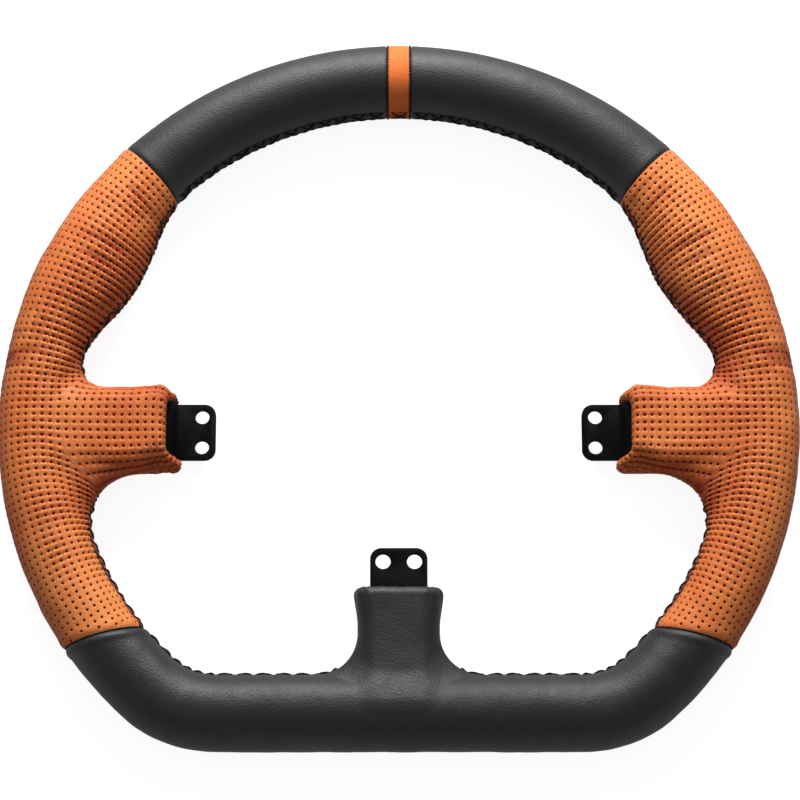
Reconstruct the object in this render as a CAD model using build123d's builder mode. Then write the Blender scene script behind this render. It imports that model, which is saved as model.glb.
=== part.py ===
"""Flat-bottomed, leather-wrapped rim of a simulator racing wheel.

The rim lies on its back: +Z points to the driver, +Y to twelve o'clock and +X to the driver's right.
The origin is the hub centre, on the back faces of the three spoke tabs, where the rim is bolted on.
All sizes are in millimetres, and angles are in degrees, counted from three o'clock.
"""

from build123d import *
import math
import os

os.makedirs("parts", exist_ok=True)

# Rim
overall_width = 300.0
tube_radius = 14.0  # leather's outer face on the plain stretches
ring_centre_y = 2.4  # the round part's centre lies a little above the hub centre
ring_z = 8.0  # mid plane of the rim, above the tabs' back faces
bottom_y = -107.4  # centreline of the flat bottom
corner_radius = 37.0  # centreline of the two bottom corners

# Grips at ten and two o'clock: they swell inwards and to the front, and the back stays flush.
grip_start = 130.0
grip_span = 38.0
grip_skew = 1.22
grip_bulge = 4.8
grip_lift = 1.6
grip_stations = [140, 145, 150, 155, 160, 165, 170, 180, 190, 200, 210, 222]

# Leather, foam and seams
leather = 1.2
seam_gap = 0.9  # room between neighbouring panels, where the seam's thread lies
lacing_slot = 0.5  # room between the two edges of one panel
slot_reach = 7.0  # the slots' cutters reach this far past the rim's face
stripe_half_angle = 1.8
upper_seam_angle = 134.3
lower_seam_angle = 217.2
lower_seam_slope = 16.0  # the lower seam's line across the rim, up from the horizontal
seam_overlap = 15.0  # neighbouring stretches of rim run on this far before the seam cuts them
glue_line = 0.4
foam_overlap = 4.0  # the plain stretches' foam runs on this far into the grips'
insert_clearance = 0.15  # room around the steel in the foam

# Spoke sleeves
sleeve_half_width = 16.5
sleeve_half_thickness = 9.5
sleeve_edge_radius = 8.0
root_overlap = 0.3  # the sleeve's root starts this far inside the rim's face
side_sleeve_end = 81.5
side_lip_setback = 5.5  # the front lip lies this far back from the end
upper_root_fillet = 10.0
lower_root_fillet = 19.0
side_root_width = 115.0  # stretch of rim that carries the side sleeve's root
side_slot_pause = 56.0  # stretch of the inside of the rim that the side sleeve takes up
bottom_sleeve_end = 59.8
bottom_lip_setback = 3.0
bottom_root_fillet = 17.0
bottom_root_width = 82.0
bottom_slot_pause = 69.0
plate_clearance = 0.2
tab_seat_end = 83.0  # no leather lies over or under the side tab nearer to the hub than this

# Spoke plates
plate = 2.5
tab_width = 21.4
tab_corner = 4.2
tab_hole_spacing = 11.7
tab_hole_inset = 5.1
side_hole_radius = 2.65
bottom_hole_radius = 2.85
side_tab_end = 69.0
bottom_tab_end = 44.5
plate_root_width = 27.0
plate_neck = 4.0  # from the tab's width to the root's
side_joggle = 84.2  # the tab's flat part ends here
bottom_joggle = 61.6
joggle_run = 3.2
bend_radius = 3.0

# Ring tube and its welds
ring_tube_radius = 6.35
ring_tube_wall = 1.6
weld_radius = 2.2
weld_length = 24.0

# Thread
thread_radius = 0.4
seam_thread_radius = 0.35
top_stitch_pitch = 3.8
side_stitch_pitch = 2.9
stitch_length = 4.2
stitch_lean = 22.0
stitch_clearance = 0.3
upper_lacing_end = 163.0
lower_lacing_start = 204.0
run_margin = 1.0  # degrees between a seam and the first stitch
closing_margin = 4.0
seam_skew = 3.2  # how much further round the lower seam is at the inside of the rim

ring_radius = overall_width / 2 - tube_radius
inner_radius = ring_radius - tube_radius
tube_ends = ring_radius - ring_tube_radius  # the side plates' roots butt against the ring tube here
gap_angle = math.degrees(seam_gap / 2 / ring_radius)
stripe_angle = 90 + stripe_half_angle
stand_off = stitch_clearance + thread_radius
far = 160.0  # reaches past the whole rim

# The corner's arc touches the round part and the bottom's line.
corner_y = bottom_y + corner_radius
corner_x = math.sqrt((ring_radius - corner_radius) ** 2 - (corner_y - ring_centre_y) ** 2)
corner_start = math.degrees(math.atan2(corner_y - ring_centre_y, corner_x))


def bulge(angle):
    """Share of the grip's full swelling at an angle."""
    share = (angle - grip_start) / grip_span
    if share <= 0 or share >= 1:
        return 0.0
    return math.sin(math.pi * share**grip_skew) ** 1.5


def half_width(angle):
    return tube_radius + grip_bulge * bulge(angle)


def ring_point(radius, angle):
    """A point at a radius and an angle about the centre of the round part."""
    turn = math.radians(angle)
    return radius * math.cos(turn), ring_centre_y + radius * math.sin(turn)


def rim_plane(radius, angle, lift=0.0):
    """A plane across the rim: x along the radius, z along the rim."""
    x, y = ring_point(radius, angle)
    turn = math.radians(angle)
    return Plane(
        origin=(x, y, ring_z + lift),
        x_dir=(math.cos(turn), math.sin(turn), 0),
        z_dir=(-math.sin(turn), math.cos(turn), 0),
    )


def seam_plane(shift):
    """The lower left seam's plane, moved along its normal, which points up to the grip."""
    x, y = ring_point(ring_radius, lower_seam_angle)
    slope = math.radians(lower_seam_slope)
    normal = (-math.sin(slope), math.cos(slope), 0)
    return Plane(
        origin=(x + shift * normal[0], y + shift * normal[1], ring_z),
        x_dir=(math.cos(slope), math.sin(slope), 0),
        z_dir=normal,
    )


ring_axis = Axis((0, ring_centre_y, 0), (0, 0, 1))
ring_centre = (0, ring_centre_y, ring_z)


def export(part, name):
    part.label = name
    export_step(part, f"parts/{name}.step")


def mirrored(source):
    """The same piece on the other side of the wheel."""
    with BuildPart() as piece:
        mirror(source, about=Plane.YZ)
    return piece.part


# ---------------------------------------------------------------- solids of the rim


def grip_tube(inset):
    """The rim from the upper left seam to below the lower left seam."""
    with BuildPart() as tube:
        for angle in [upper_seam_angle + gap_angle, *grip_stations]:
            centre_radius = overall_width / 2 - half_width(angle)
            lift = grip_lift * bulge(angle)
            with BuildSketch(rim_plane(centre_radius, angle, lift)):
                Ellipse(half_width(angle) - inset, tube_radius + lift - inset)
        loft()
    return tube.part


def flat_bottom():
    """Adds the centreline of the flat bottom and its two corners to a line."""
    CenterArc((-corner_x, corner_y, ring_z), corner_radius, 180 - corner_start, 90 + corner_start)
    Line((-corner_x, bottom_y, ring_z), (corner_x, bottom_y, ring_z))
    CenterArc((corner_x, corner_y, ring_z), corner_radius, -90, 90 + corner_start)


def bottom_tube(inset):
    """The rim's flat bottom with both corners, to above the lower seams."""
    with BuildPart() as tube:
        with BuildLine() as path:
            CenterArc(ring_centre, ring_radius, 180 - corner_start, -seam_overlap)
            flat_bottom()
            CenterArc(ring_centre, ring_radius, corner_start, seam_overlap)
        line = path.wires()[0]
        with BuildSketch(Plane(origin=line @ 0, z_dir=line % 0)):
            Circle(tube_radius - inset)
        sweep(path=line)
    return tube.part


def side_sleeve(inset):
    """The left spoke's sleeve with its root fillets, longer than it is finished."""
    root = inner_radius + root_overlap + inset
    width = sleeve_half_width - inset
    with BuildPart() as sleeve:
        with BuildSketch(Plane.XY.offset(ring_z)) as outline:
            with Locations((0, ring_centre_y)):
                Circle(ring_radius)
                Circle(root, mode=Mode.SUBTRACT)
            with Locations((-ring_radius, 0)):
                Rectangle(ring_radius / 2, side_root_width, mode=Mode.INTERSECT)
                Rectangle(ring_radius - side_sleeve_end / 2, 2 * width, align=(Align.MIN, Align.CENTER))
            for side, radius in ((1, upper_root_fillet), (-1, lower_root_fillet)):
                corner = outline.vertices().sort_by_distance((-root, side * width))[0]
                fillet(corner, radius + inset)
        extrude(amount=sleeve_half_thickness - inset, both=True)
        edges = sleeve.faces().filter_by(Axis.Z).edges()
        fillet(edges.filter_by_position(Axis.X, -ring_radius + tube_radius / 2, -side_sleeve_end / 2 - 1),
               sleeve_edge_radius - inset)
    return sleeve.part


def bottom_sleeve(inset):
    """The bottom spoke's sleeve with its root fillets, longer than it is finished."""
    root = bottom_y + tube_radius - root_overlap - inset
    width = sleeve_half_width - inset
    with BuildPart() as sleeve:
        with BuildSketch(Plane.XY.offset(ring_z)) as outline:
            with Locations((0, root)):
                Rectangle(bottom_root_width, tube_radius, align=(Align.CENTER, Align.MAX))
            with Locations((0, bottom_y)):
                Rectangle(2 * width, -bottom_y - bottom_sleeve_end / 2, align=(Align.CENTER, Align.MIN))
            for side in (1, -1):
                corner = outline.vertices().sort_by_distance((side * width, root))[0]
                fillet(corner, bottom_root_fillet + inset)
        extrude(amount=sleeve_half_thickness - inset, both=True)
        edges = sleeve.faces().filter_by(Axis.Z).edges()
        fillet(edges.filter_by_position(Axis.Y, bottom_y + tube_radius / 2, -bottom_sleeve_end / 2 - 1),
               sleeve_edge_radius - inset)
    return sleeve.part


def sleeve_end_plane(end, setback, outward, inset):
    """The slanted plane that ends a sleeve: the front lip stands back from the back edge."""
    height = 2 * sleeve_half_thickness
    normal = Vector(-outward[0] * height, -outward[1] * height, setback).normalized()
    middle = Vector(outward[0], outward[1]) * (end + setback / 2) + Vector(0, 0, ring_z)
    return Plane(origin=middle - normal * inset, z_dir=normal)


left = (-1, 0)
down = (0, -1)


def left_body(inset, gap):
    """The rim between the two left seams, with the left sleeve."""
    end = sleeve_end_plane(side_sleeve_end, side_lip_setback, left, inset)
    with BuildPart() as body:
        add(side_sleeve(inset))
        split(bisect_by=end, keep=Keep.BOTTOM)
        add(grip_tube(inset))
        split(bisect_by=seam_plane(gap / 2), keep=Keep.TOP)
    return body.part


def bottom_body(inset, gap):
    """The rim between the two lower seams, with the bottom sleeve."""
    end = sleeve_end_plane(bottom_sleeve_end, bottom_lip_setback, down, inset)
    with BuildPart() as body:
        add(bottom_sleeve(inset))
        split(bisect_by=end, keep=Keep.BOTTOM)
        add(bottom_tube(inset))
        split(bisect_by=seam_plane(-gap / 2), keep=Keep.BOTTOM)
        mirror(about=Plane.YZ, mode=Mode.INTERSECT)
    return body.part


# ---------------------------------------------------------------- ring tube, plates and welds


def ring_solid(radius):
    """A solid bar along the whole rim's centreline."""
    with BuildPart() as bar:
        with BuildLine() as path:
            CenterArc(ring_centre, ring_radius, corner_start, 180 - 2 * corner_start)
            flat_bottom()
        loop = path.wires()[0]
        with BuildSketch(Plane(origin=loop @ 0, z_dir=loop % 0)):
            Circle(radius)
        sweep(path=loop)
    return bar.part


ring_bar = ring_solid(ring_tube_radius)
ring_bore = ring_solid(ring_tube_radius - ring_tube_wall)
with BuildPart() as ring_tube:
    add(ring_bar)
    add(ring_bore, mode=Mode.SUBTRACT)
export(ring_tube.part, "rim_ring_tube")


def tab_plate(tab_end, joggle, hole_radius, grow=0.0):
    """A spoke plate that points along +X from its tab at the hub to its root, grown all over by grow."""
    tab_half = tab_width / 2 + grow
    root_half = plate_root_width / 2 + grow
    neck = joggle + joggle_run + plate_neck
    with BuildPart() as piece:
        with BuildSketch(Plane.XZ):
            with BuildLine():
                FilletPolyline(
                    (tab_end - grow, plate / 2),
                    (joggle, plate / 2),
                    (joggle + joggle_run, ring_z),
                    (far, ring_z),
                    radius=bend_radius,
                )
            trace(line_width=plate + 2 * grow)
        extrude(amount=plate_root_width, both=True)
        with BuildSketch():
            with BuildLine():
                Polyline(
                    (tab_end - grow, -tab_half),
                    (neck, -tab_half),
                    (neck + plate_neck, -root_half),
                    (far, -root_half),
                    (far, root_half),
                    (neck + plate_neck, root_half),
                    (neck, tab_half),
                    (tab_end - grow, tab_half),
                    close=True,
                )
            make_face()
        extrude(amount=far, both=True, mode=Mode.INTERSECT)
        tab_corners = piece.edges().filter_by(Axis.Z).filter_by(lambda e: e.center().X < tab_end + 1)
        fillet(tab_corners, tab_corner)
        if hole_radius:
            with Locations((tab_end + tab_hole_inset, 0, 0)):
                with GridLocations(0, tab_hole_spacing, 1, 2):
                    Cylinder(hole_radius, 4 * plate, mode=Mode.SUBTRACT)
    return piece.part


def side_plate(hole_radius, grow=0.0, reach=ring_tube_radius):
    """The left spoke plate, whose root stops at a reach from the rim's centreline."""
    with BuildPart() as piece:
        add(Rot(0, 0, 180) * tab_plate(side_tab_end, side_joggle, hole_radius, grow))
        with BuildSketch():
            with Locations((0, ring_centre_y)):
                Circle(ring_radius - reach)
        extrude(amount=far, both=True, mode=Mode.INTERSECT)
    return piece.part


def bottom_plate(hole_radius, grow=0.0, reach=ring_tube_radius):
    """The bottom spoke plate, whose root stops at a reach from the rim's centreline."""
    with BuildPart() as piece:
        add(Rot(0, 0, -90) * tab_plate(bottom_tab_end, bottom_joggle, hole_radius, grow))
        root = Plane((0, bottom_y + reach, 0), z_dir=(0, 1, 0))
        split(bisect_by=root, keep=Keep.TOP)
    return piece.part


left_plate = side_plate(side_hole_radius)
export(left_plate, "left_spoke_plate")
export(mirrored(left_plate), "right_spoke_plate")
export(bottom_plate(bottom_hole_radius), "bottom_spoke_plate")


def weld_bars(radius):
    """Round bars along the corners between the plates and the ring tube, front and back."""
    turn = math.degrees(weld_length / tube_ends)
    with BuildPart() as bars:
        for side in (1, -1):
            with BuildSketch(rim_plane(tube_ends, 180 - turn / 2, side * plate / 2)):
                Circle(radius)
            revolve(axis=ring_axis, revolution_arc=turn)
        mirror(about=Plane.YZ)
        for side in (1, -1):
            with Locations((0, bottom_y + ring_tube_radius, ring_z + side * plate / 2)):
                Cylinder(radius, weld_length, rotation=(0, 90, 0))
    return bars.part


with BuildPart() as beads:
    add(weld_bars(weld_radius))
    with Locations((0, 0, ring_z)):
        Box(2 * far, 2 * far, plate, mode=Mode.SUBTRACT)
    add(ring_bar, mode=Mode.SUBTRACT)
export(beads.part, "spoke_weld_beads")

# ---------------------------------------------------------------- leather

# The slots let each panel's two edges meet at the inside of the rim and along the back of its sleeve.
with BuildPart() as left_slots:
    with BuildSketch(Plane.XY.offset(ring_z)):
        with Locations((0, ring_centre_y)):
            Circle(ring_radius - slot_reach / 2)
            Circle(inner_radius - 2 * grip_bulge - slot_reach, mode=Mode.SUBTRACT)
        with Locations((-ring_radius, 0)):
            Rectangle(2 * (ring_radius - side_sleeve_end), 2 * far, mode=Mode.INTERSECT)
            Rectangle(far, side_slot_pause, mode=Mode.SUBTRACT)
    extrude(amount=lacing_slot / 2, both=True)
    with Locations((-ring_radius + slot_reach, 0, 0)):
        Box(ring_radius - side_sleeve_end, lacing_slot, ring_z, align=(Align.MIN, Align.CENTER, Align.CENTER))

with BuildPart() as left_grip:
    add(left_body(0, seam_gap))
    add(left_body(leather, -seam_gap), mode=Mode.SUBTRACT)
    add(side_plate(0, plate_clearance), mode=Mode.SUBTRACT)
    with Locations((-tab_seat_end / 2, 0, 0)):
        Box(tab_seat_end, tab_width + 2 * plate_clearance, 4 * plate, mode=Mode.SUBTRACT)
    add(left_slots.part, mode=Mode.SUBTRACT)
export(left_grip.part, "left_grip_leather")
export(mirrored(left_grip.part), "right_grip_leather")

with BuildPart() as bottom_slots:
    with BuildSketch(Plane.XY.offset(ring_z)):
        with BuildLine():
            Polyline(
                (-ring_radius, 0),
                (-ring_radius, ring_centre_y - ring_radius),
                (-corner_x, bottom_y + slot_reach),
                (corner_x, bottom_y + slot_reach),
                (ring_radius, ring_centre_y - ring_radius),
                (ring_radius, 0),
                close=True,
            )
        make_face()
        with Locations((0, bottom_y)):
            Rectangle(bottom_slot_pause, 2 * far, mode=Mode.SUBTRACT)
    extrude(amount=lacing_slot / 2, both=True)
    with Locations((0, bottom_y + slot_reach, 0)):
        Box(lacing_slot, -bottom_y - bottom_sleeve_end, ring_z, align=(Align.CENTER, Align.MIN, Align.CENTER))

with BuildPart() as bottom_panel:
    add(bottom_body(0, seam_gap))
    add(bottom_body(leather, -seam_gap), mode=Mode.SUBTRACT)
    add(bottom_plate(0, plate_clearance), mode=Mode.SUBTRACT)
    add(bottom_slots.part, mode=Mode.SUBTRACT)
export(bottom_panel.part, "bottom_leather")


def wrapped_arc(first_angle, last_angle):
    """A plain panel around the round part, open along the inside of the rim."""
    with BuildPart() as panel:
        with BuildSketch(rim_plane(ring_radius, first_angle)):
            Circle(tube_radius)
            Circle(tube_radius - leather, mode=Mode.SUBTRACT)
            with Locations((-tube_radius, 0)):
                Rectangle(tube_radius, lacing_slot, mode=Mode.SUBTRACT)
        revolve(axis=ring_axis, revolution_arc=last_angle - first_angle)
    return panel.part


top_left = wrapped_arc(stripe_angle + gap_angle, upper_seam_angle - gap_angle)
export(top_left, "top_left_leather")
export(mirrored(top_left), "top_right_leather")
stripe = wrapped_arc(180 - stripe_angle + gap_angle, stripe_angle - gap_angle)
export(stripe, "centre_stripe_leather")

# ---------------------------------------------------------------- foam core

# The foam fills the grips and side sleeves, and leaves room for glue in the plain stretches.
foam_inset = leather + glue_line
foam_end = upper_seam_angle + gap_angle + foam_overlap / 2
with BuildPart() as foam:
    add(left_body(leather, 0))
    mirror(about=Plane.YZ)
    add(bottom_body(foam_inset, -2 * foam_overlap))
    with BuildSketch(rim_plane(ring_radius, 180 - foam_end)):
        Circle(tube_radius - foam_inset)
    revolve(axis=ring_axis, revolution_arc=2 * (foam_end - 90))
    add(ring_solid(ring_tube_radius + insert_clearance), mode=Mode.SUBTRACT)
    add(side_plate(0, insert_clearance, reach=0), mode=Mode.SUBTRACT)
    add(mirrored(side_plate(0, insert_clearance, reach=0)), mode=Mode.SUBTRACT)
    add(bottom_plate(0, insert_clearance, reach=0), mode=Mode.SUBTRACT)
    add(weld_bars(weld_radius + insert_clearance), mode=Mode.SUBTRACT)
export(foam.part, "foam_core")

# ---------------------------------------------------------------- thread


def stitch_plane(x, y, z, along, across, lean):
    """The plane of a stitch at a point: its z axis runs across the slot and leans along it."""
    turn = math.radians(lean)
    direction = [math.cos(turn) * c + math.sin(turn) * a for c, a in zip(across, along)]
    return Plane(origin=(x, y, z), z_dir=direction)


def sewn(planes):
    """A run of stitches, each a short straight length of thread."""
    with BuildPart() as run:
        for place in planes:
            with Locations(place):
                Cylinder(thread_radius, stitch_length)
    return run.part


def zigzag(first, last, pitch):
    """Even places from first to last, about a pitch apart, with the lean of each stitch."""
    count = max(2, round(abs(last - first) / pitch))
    for n in range(count):
        yield first + (last - first) * (n + 0.5) / count, stitch_lean if n % 2 else -stitch_lean


def arc_planes(centre, radius_at, first_angle, last_angle, pitch):
    """Stitches along an arc, whose radius may change with the angle."""
    planes = []
    pitch_angle = math.degrees(pitch / radius_at(first_angle))
    for angle, lean in zigzag(first_angle, last_angle, pitch_angle):
        turn = math.radians(angle)
        radius = radius_at(angle) - stand_off
        x = centre[0] + radius * math.cos(turn)
        y = centre[1] + radius * math.sin(turn)
        along = (-math.sin(turn), math.cos(turn), 0)
        planes.append(stitch_plane(x, y, ring_z, along, (0, 0, 1), lean))
    return planes


def round_planes(first_angle, last_angle, pitch):
    """Stitches along the inside of the round part."""
    return arc_planes(
        ring_centre, lambda angle: overall_width - 2 * half_width(angle) - overall_width / 2,
        first_angle, last_angle, pitch,
    )


def straight_planes(first_x, last_x):
    """Stitches along the inside of the flat bottom."""
    y = bottom_y + tube_radius + stand_off
    places = zigzag(first_x, last_x, side_stitch_pitch)
    return [stitch_plane(x, y, ring_z, (1, 0, 0), (0, 0, 1), lean) for x, lean in places]


def closing_run(first, last):
    """Lacing along the back of a sleeve that points along +X, from its end to its root."""
    z = ring_z - sleeve_half_thickness - stand_off
    places = zigzag(first, last, side_stitch_pitch)
    return sewn([stitch_plane(x, 0, z, (1, 0, 0), (0, 1, 0), lean) for x, lean in places])


def seam_ring(angle):
    """The thread in the groove between two panels of the round part."""
    with BuildPart() as ring:
        with Locations(rim_plane(ring_radius, angle)):
            Torus(tube_radius - stand_off / 2, seam_thread_radius)
    return ring.part


def lower_seam_ring():
    """The thread in the lower left seam, which crosses the rim at a slant."""
    slant = math.radians(lower_seam_angle - 180 - lower_seam_slope)
    radius = tube_radius - stand_off / 2
    with BuildPart() as ring:
        with BuildLine(seam_plane(0)) as path:
            EllipticalCenterArc((0, 0), radius / math.cos(slant), radius, arc_size=360)
        loop = path.wires()[0]
        with BuildSketch(Plane(origin=loop @ 0, z_dir=loop % 0)):
            Circle(seam_thread_radius)
        sweep(path=loop)
    return ring.part


lower_seam_inside = lower_seam_angle + seam_skew
top_run = round_planes(stripe_angle + run_margin, upper_seam_angle - run_margin, top_stitch_pitch)
upper_run = round_planes(upper_seam_angle + run_margin, upper_lacing_end, side_stitch_pitch)
lower_run = round_planes(lower_lacing_start, lower_seam_inside - run_margin, side_stitch_pitch)
bottom_run = round_planes(lower_seam_inside + run_margin, 180 - corner_start, side_stitch_pitch)
bottom_run += arc_planes(
    (-corner_x, corner_y), lambda angle: corner_radius - tube_radius,
    180 - corner_start, 270, side_stitch_pitch,
)
bottom_run += straight_planes(-corner_x, -bottom_slot_pause / 2)
side_closing = closing_run(side_sleeve_end + closing_margin, inner_radius - closing_margin)
runs = {
    "top_left_lacing": sewn(top_run),
    "left_upper_lacing": sewn(upper_run),
    "left_lower_lacing": sewn(lower_run),
    "bottom_left_lacing": sewn(bottom_run),
    "left_sleeve_closing_thread": Rot(0, 0, 180) * side_closing,
    "stripe_left_seam_thread": seam_ring(stripe_angle),
    "upper_left_seam_thread": seam_ring(upper_seam_angle),
    "lower_left_seam_thread": lower_seam_ring(),
}
for name, run in runs.items():
    export(run, name)
    export(mirrored(run), name.replace("left", "right"))

bottom_closing = closing_run(bottom_sleeve_end + closing_margin, -bottom_y - tube_radius - closing_margin)
export(Rot(0, 0, -90) * bottom_closing, "bottom_sleeve_closing_thread")

cross_y = ring_centre_y + inner_radius - stand_off
cross = [stitch_plane(0, cross_y, ring_z, (1, 0, 0), (0, 0, 1), lean) for lean in (stitch_lean, -stitch_lean)]
export(sewn(cross), "stripe_cross_stitch")
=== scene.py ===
"""A flat-bottomed, leather-wrapped racing wheel rim on a pale floor.

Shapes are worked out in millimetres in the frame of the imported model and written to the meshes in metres.
"""
import logging
import math
from dataclasses import dataclass, field
from enum import Enum
from typing import Callable, Iterable, Sequence

import bmesh
import bpy
import numpy as np
from mathutils import Matrix, Vector, noise


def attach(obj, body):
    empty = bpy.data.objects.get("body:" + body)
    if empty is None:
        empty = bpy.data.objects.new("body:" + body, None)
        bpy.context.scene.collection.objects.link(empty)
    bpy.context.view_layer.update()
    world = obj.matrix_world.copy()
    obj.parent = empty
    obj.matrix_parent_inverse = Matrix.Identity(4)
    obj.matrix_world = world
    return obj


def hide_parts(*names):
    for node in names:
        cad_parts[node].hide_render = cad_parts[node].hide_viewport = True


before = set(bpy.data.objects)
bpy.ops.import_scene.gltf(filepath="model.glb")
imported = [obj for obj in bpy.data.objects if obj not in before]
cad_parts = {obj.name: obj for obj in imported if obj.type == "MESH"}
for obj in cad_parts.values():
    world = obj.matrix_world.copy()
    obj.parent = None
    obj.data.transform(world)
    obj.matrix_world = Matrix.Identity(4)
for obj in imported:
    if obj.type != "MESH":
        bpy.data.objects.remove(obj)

log = logging.getLogger("wheel")
MM = 0.001
DECIMETRE = 100.0
TINY = 1e-6
FULL_SWING = 1.6  # brings Blender's noise, which seldom leaves its middle, to about -1 to 1
EVERYWHERE = 999.0


# ---------------------------------------------------------------- sizes of the rim


class Side(Enum):
    """The side of the wheel that a piece lies on."""

    LEFT = "left"
    RIGHT = "right"


def round_max(a: np.ndarray, b: np.ndarray, radius: float) -> np.ndarray:
    """Joins two distances as an intersection with a rounded edge.

    Args:
        a: Distances to the first solid.
        b: Distances to the second solid.
        radius: Radius of the rounded edge.

    Returns:
        Distances to the part that both solids share.
    """
    corner = np.hypot(np.maximum(a + radius, 0), np.maximum(b + radius, 0))
    return np.minimum(-radius, np.maximum(a, b)) + corner


def round_min(a: np.ndarray, b: np.ndarray, radius: np.ndarray) -> np.ndarray:
    """Joins two distances as a union with a hollow fillet.

    Args:
        a: Distances to the first solid.
        b: Distances to the second solid.
        radius: Radius of the fillet, for each point.

    Returns:
        Distances to the two solids together.
    """
    corner = np.hypot(np.maximum(radius - a, 0), np.maximum(radius - b, 0))
    return np.maximum(radius, np.minimum(a, b)) - corner


def smooth_step(low: float, high: float, value: np.ndarray) -> np.ndarray:
    """Rises smoothly from 0 at low to 1 at high."""
    t = np.clip((value - low) / (high - low), 0, 1)
    return t * t * (3 - 2 * t)


@dataclass(frozen=True)
class RimShape:
    """The rim's centreline and section, in millimetres."""

    width: float = 300.0
    tube: float = 14.0
    centre_y: float = 2.4
    mid_z: float = 8.0
    bottom_y: float = -107.4
    corner_radius: float = 37.0
    grip_start: float = 130.0
    grip_span: float = 38.0
    grip_skew: float = 1.22
    grip_bulge: float = 4.8
    grip_lift: float = 1.6

    @property
    def ring(self) -> float:
        """Radius of the round part's centreline."""
        return self.width / 2 - self.tube

    @property
    def corner(self) -> tuple[float, float]:
        """Centre of the left corner's arc."""
        y = self.bottom_y + self.corner_radius
        return -math.sqrt((self.ring - self.corner_radius) ** 2 - (y - self.centre_y) ** 2), y

    @property
    def corner_angle(self) -> float:
        """Angle at which the round part ends on the left, in degrees from three o'clock."""
        x, y = self.corner
        return 180 + math.degrees(math.atan2(self.centre_y - y, -x))

    @property
    def lowest_run(self) -> float:
        """Length along the centreline from twelve o'clock to six o'clock."""
        turn = math.radians(self.corner_angle - 90)
        return self.ring * turn + self.corner_radius * (math.pi - turn) - self.corner[0]

    def halves(self, angle: np.ndarray) -> tuple[np.ndarray, np.ndarray, np.ndarray]:
        """Gives the section at an angle on the left.

        Args:
            angle: Angles in degrees from three o'clock.

        Returns:
            Half the width, half the height, and how far the section is lifted.
        """
        share = np.clip((angle - self.grip_start) / self.grip_span, 0, 1)
        swell = np.sin(np.pi * share**self.grip_skew).clip(0, 1) ** 1.5
        lift = self.grip_lift * swell
        return self.tube + self.grip_bulge * swell, self.tube + lift, lift

    def distance(self, points: np.ndarray) -> np.ndarray:
        """Measures how far points lie outside the rim.

        Args:
            points: One point a row.

        Returns:
            Distances, less than zero inside.
        """
        x, y, z = -np.abs(points[:, 0]), points[:, 1], points[:, 2]
        corner_x, corner_y = self.corner
        angle = np.degrees(np.arctan2(y - self.centre_y, x)) % 360
        width, height, lift = self.halves(angle)
        across = np.hypot(x, y - self.centre_y) - (self.width / 2 - width)
        bend = np.hypot(x - corner_x, y - corner_y) - self.corner_radius
        low = angle > self.corner_angle
        across = np.where(low, np.where(x < corner_x, bend, self.bottom_y - y), across)
        up = z - self.mid_z - lift
        share = np.maximum(np.hypot(across / width, up / height), TINY)
        slope = np.maximum(np.hypot(across / width**2, up / height**2), TINY)
        return share * (share - 1) / slope

    def station(self, run: float) -> tuple[np.ndarray, np.ndarray, float]:
        """Finds a place on the centreline.

        Args:
            run: Length along the centreline from twelve o'clock, down the left side.

        Returns:
            The point, the outward direction, and the angle that sets the section there.
        """
        corner_x, corner_y = self.corner
        turn = math.radians(self.corner_angle - 90)
        first = self.ring * turn
        second = first + self.corner_radius * (math.pi - turn)
        third = second - 2 * corner_x
        if run > third:
            point, out, angle = self.station(second + third - run)
            return point * [-1, 1], out * [-1, 1], angle
        if run > second:
            return np.array([corner_x + run - second, self.bottom_y]), np.array([0.0, -1.0]), 270.0
        if run > first:
            turned = turn + (run - first) / self.corner_radius
            out = np.array([-math.sin(turned), math.cos(turned)])
            return np.array([corner_x, corner_y]) + out * self.corner_radius, out, 250.0
        turned = run / self.ring
        out = np.array([-math.sin(turned), math.cos(turned)])
        return out * self.ring + [0, self.centre_y], out, 90 + math.degrees(turned)

    def half_round(self, angle: float) -> float:
        """Gives the length of the skin from the outside of the rim to its inside.

        Args:
            angle: Angle in degrees from three o'clock, on the left.

        Returns:
            The length.
        """
        width, height, _ = (float(v) for v in self.halves(np.array(angle)))
        root = math.sqrt((3 * width + height) * (width + 3 * height))
        return math.pi * (3 * (width + height) - root) / 2

    def skin_point(self, run: float, across: float) -> np.ndarray:
        """Finds a point of the skin.

        Args:
            run: Length along the centreline from twelve o'clock.
            across: Length round the section from the outside, positive over the front.

        Returns:
            The point.
        """
        centre, out, angle = self.station(run)
        width, height, lift = (float(v) for v in self.halves(np.array(angle)))
        turn = math.pi * across / self.half_round(angle)
        flat = centre + out * (width * math.cos(turn) - (width - self.tube))
        return np.array([*flat, self.mid_z + lift + height * math.sin(turn)])


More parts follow.
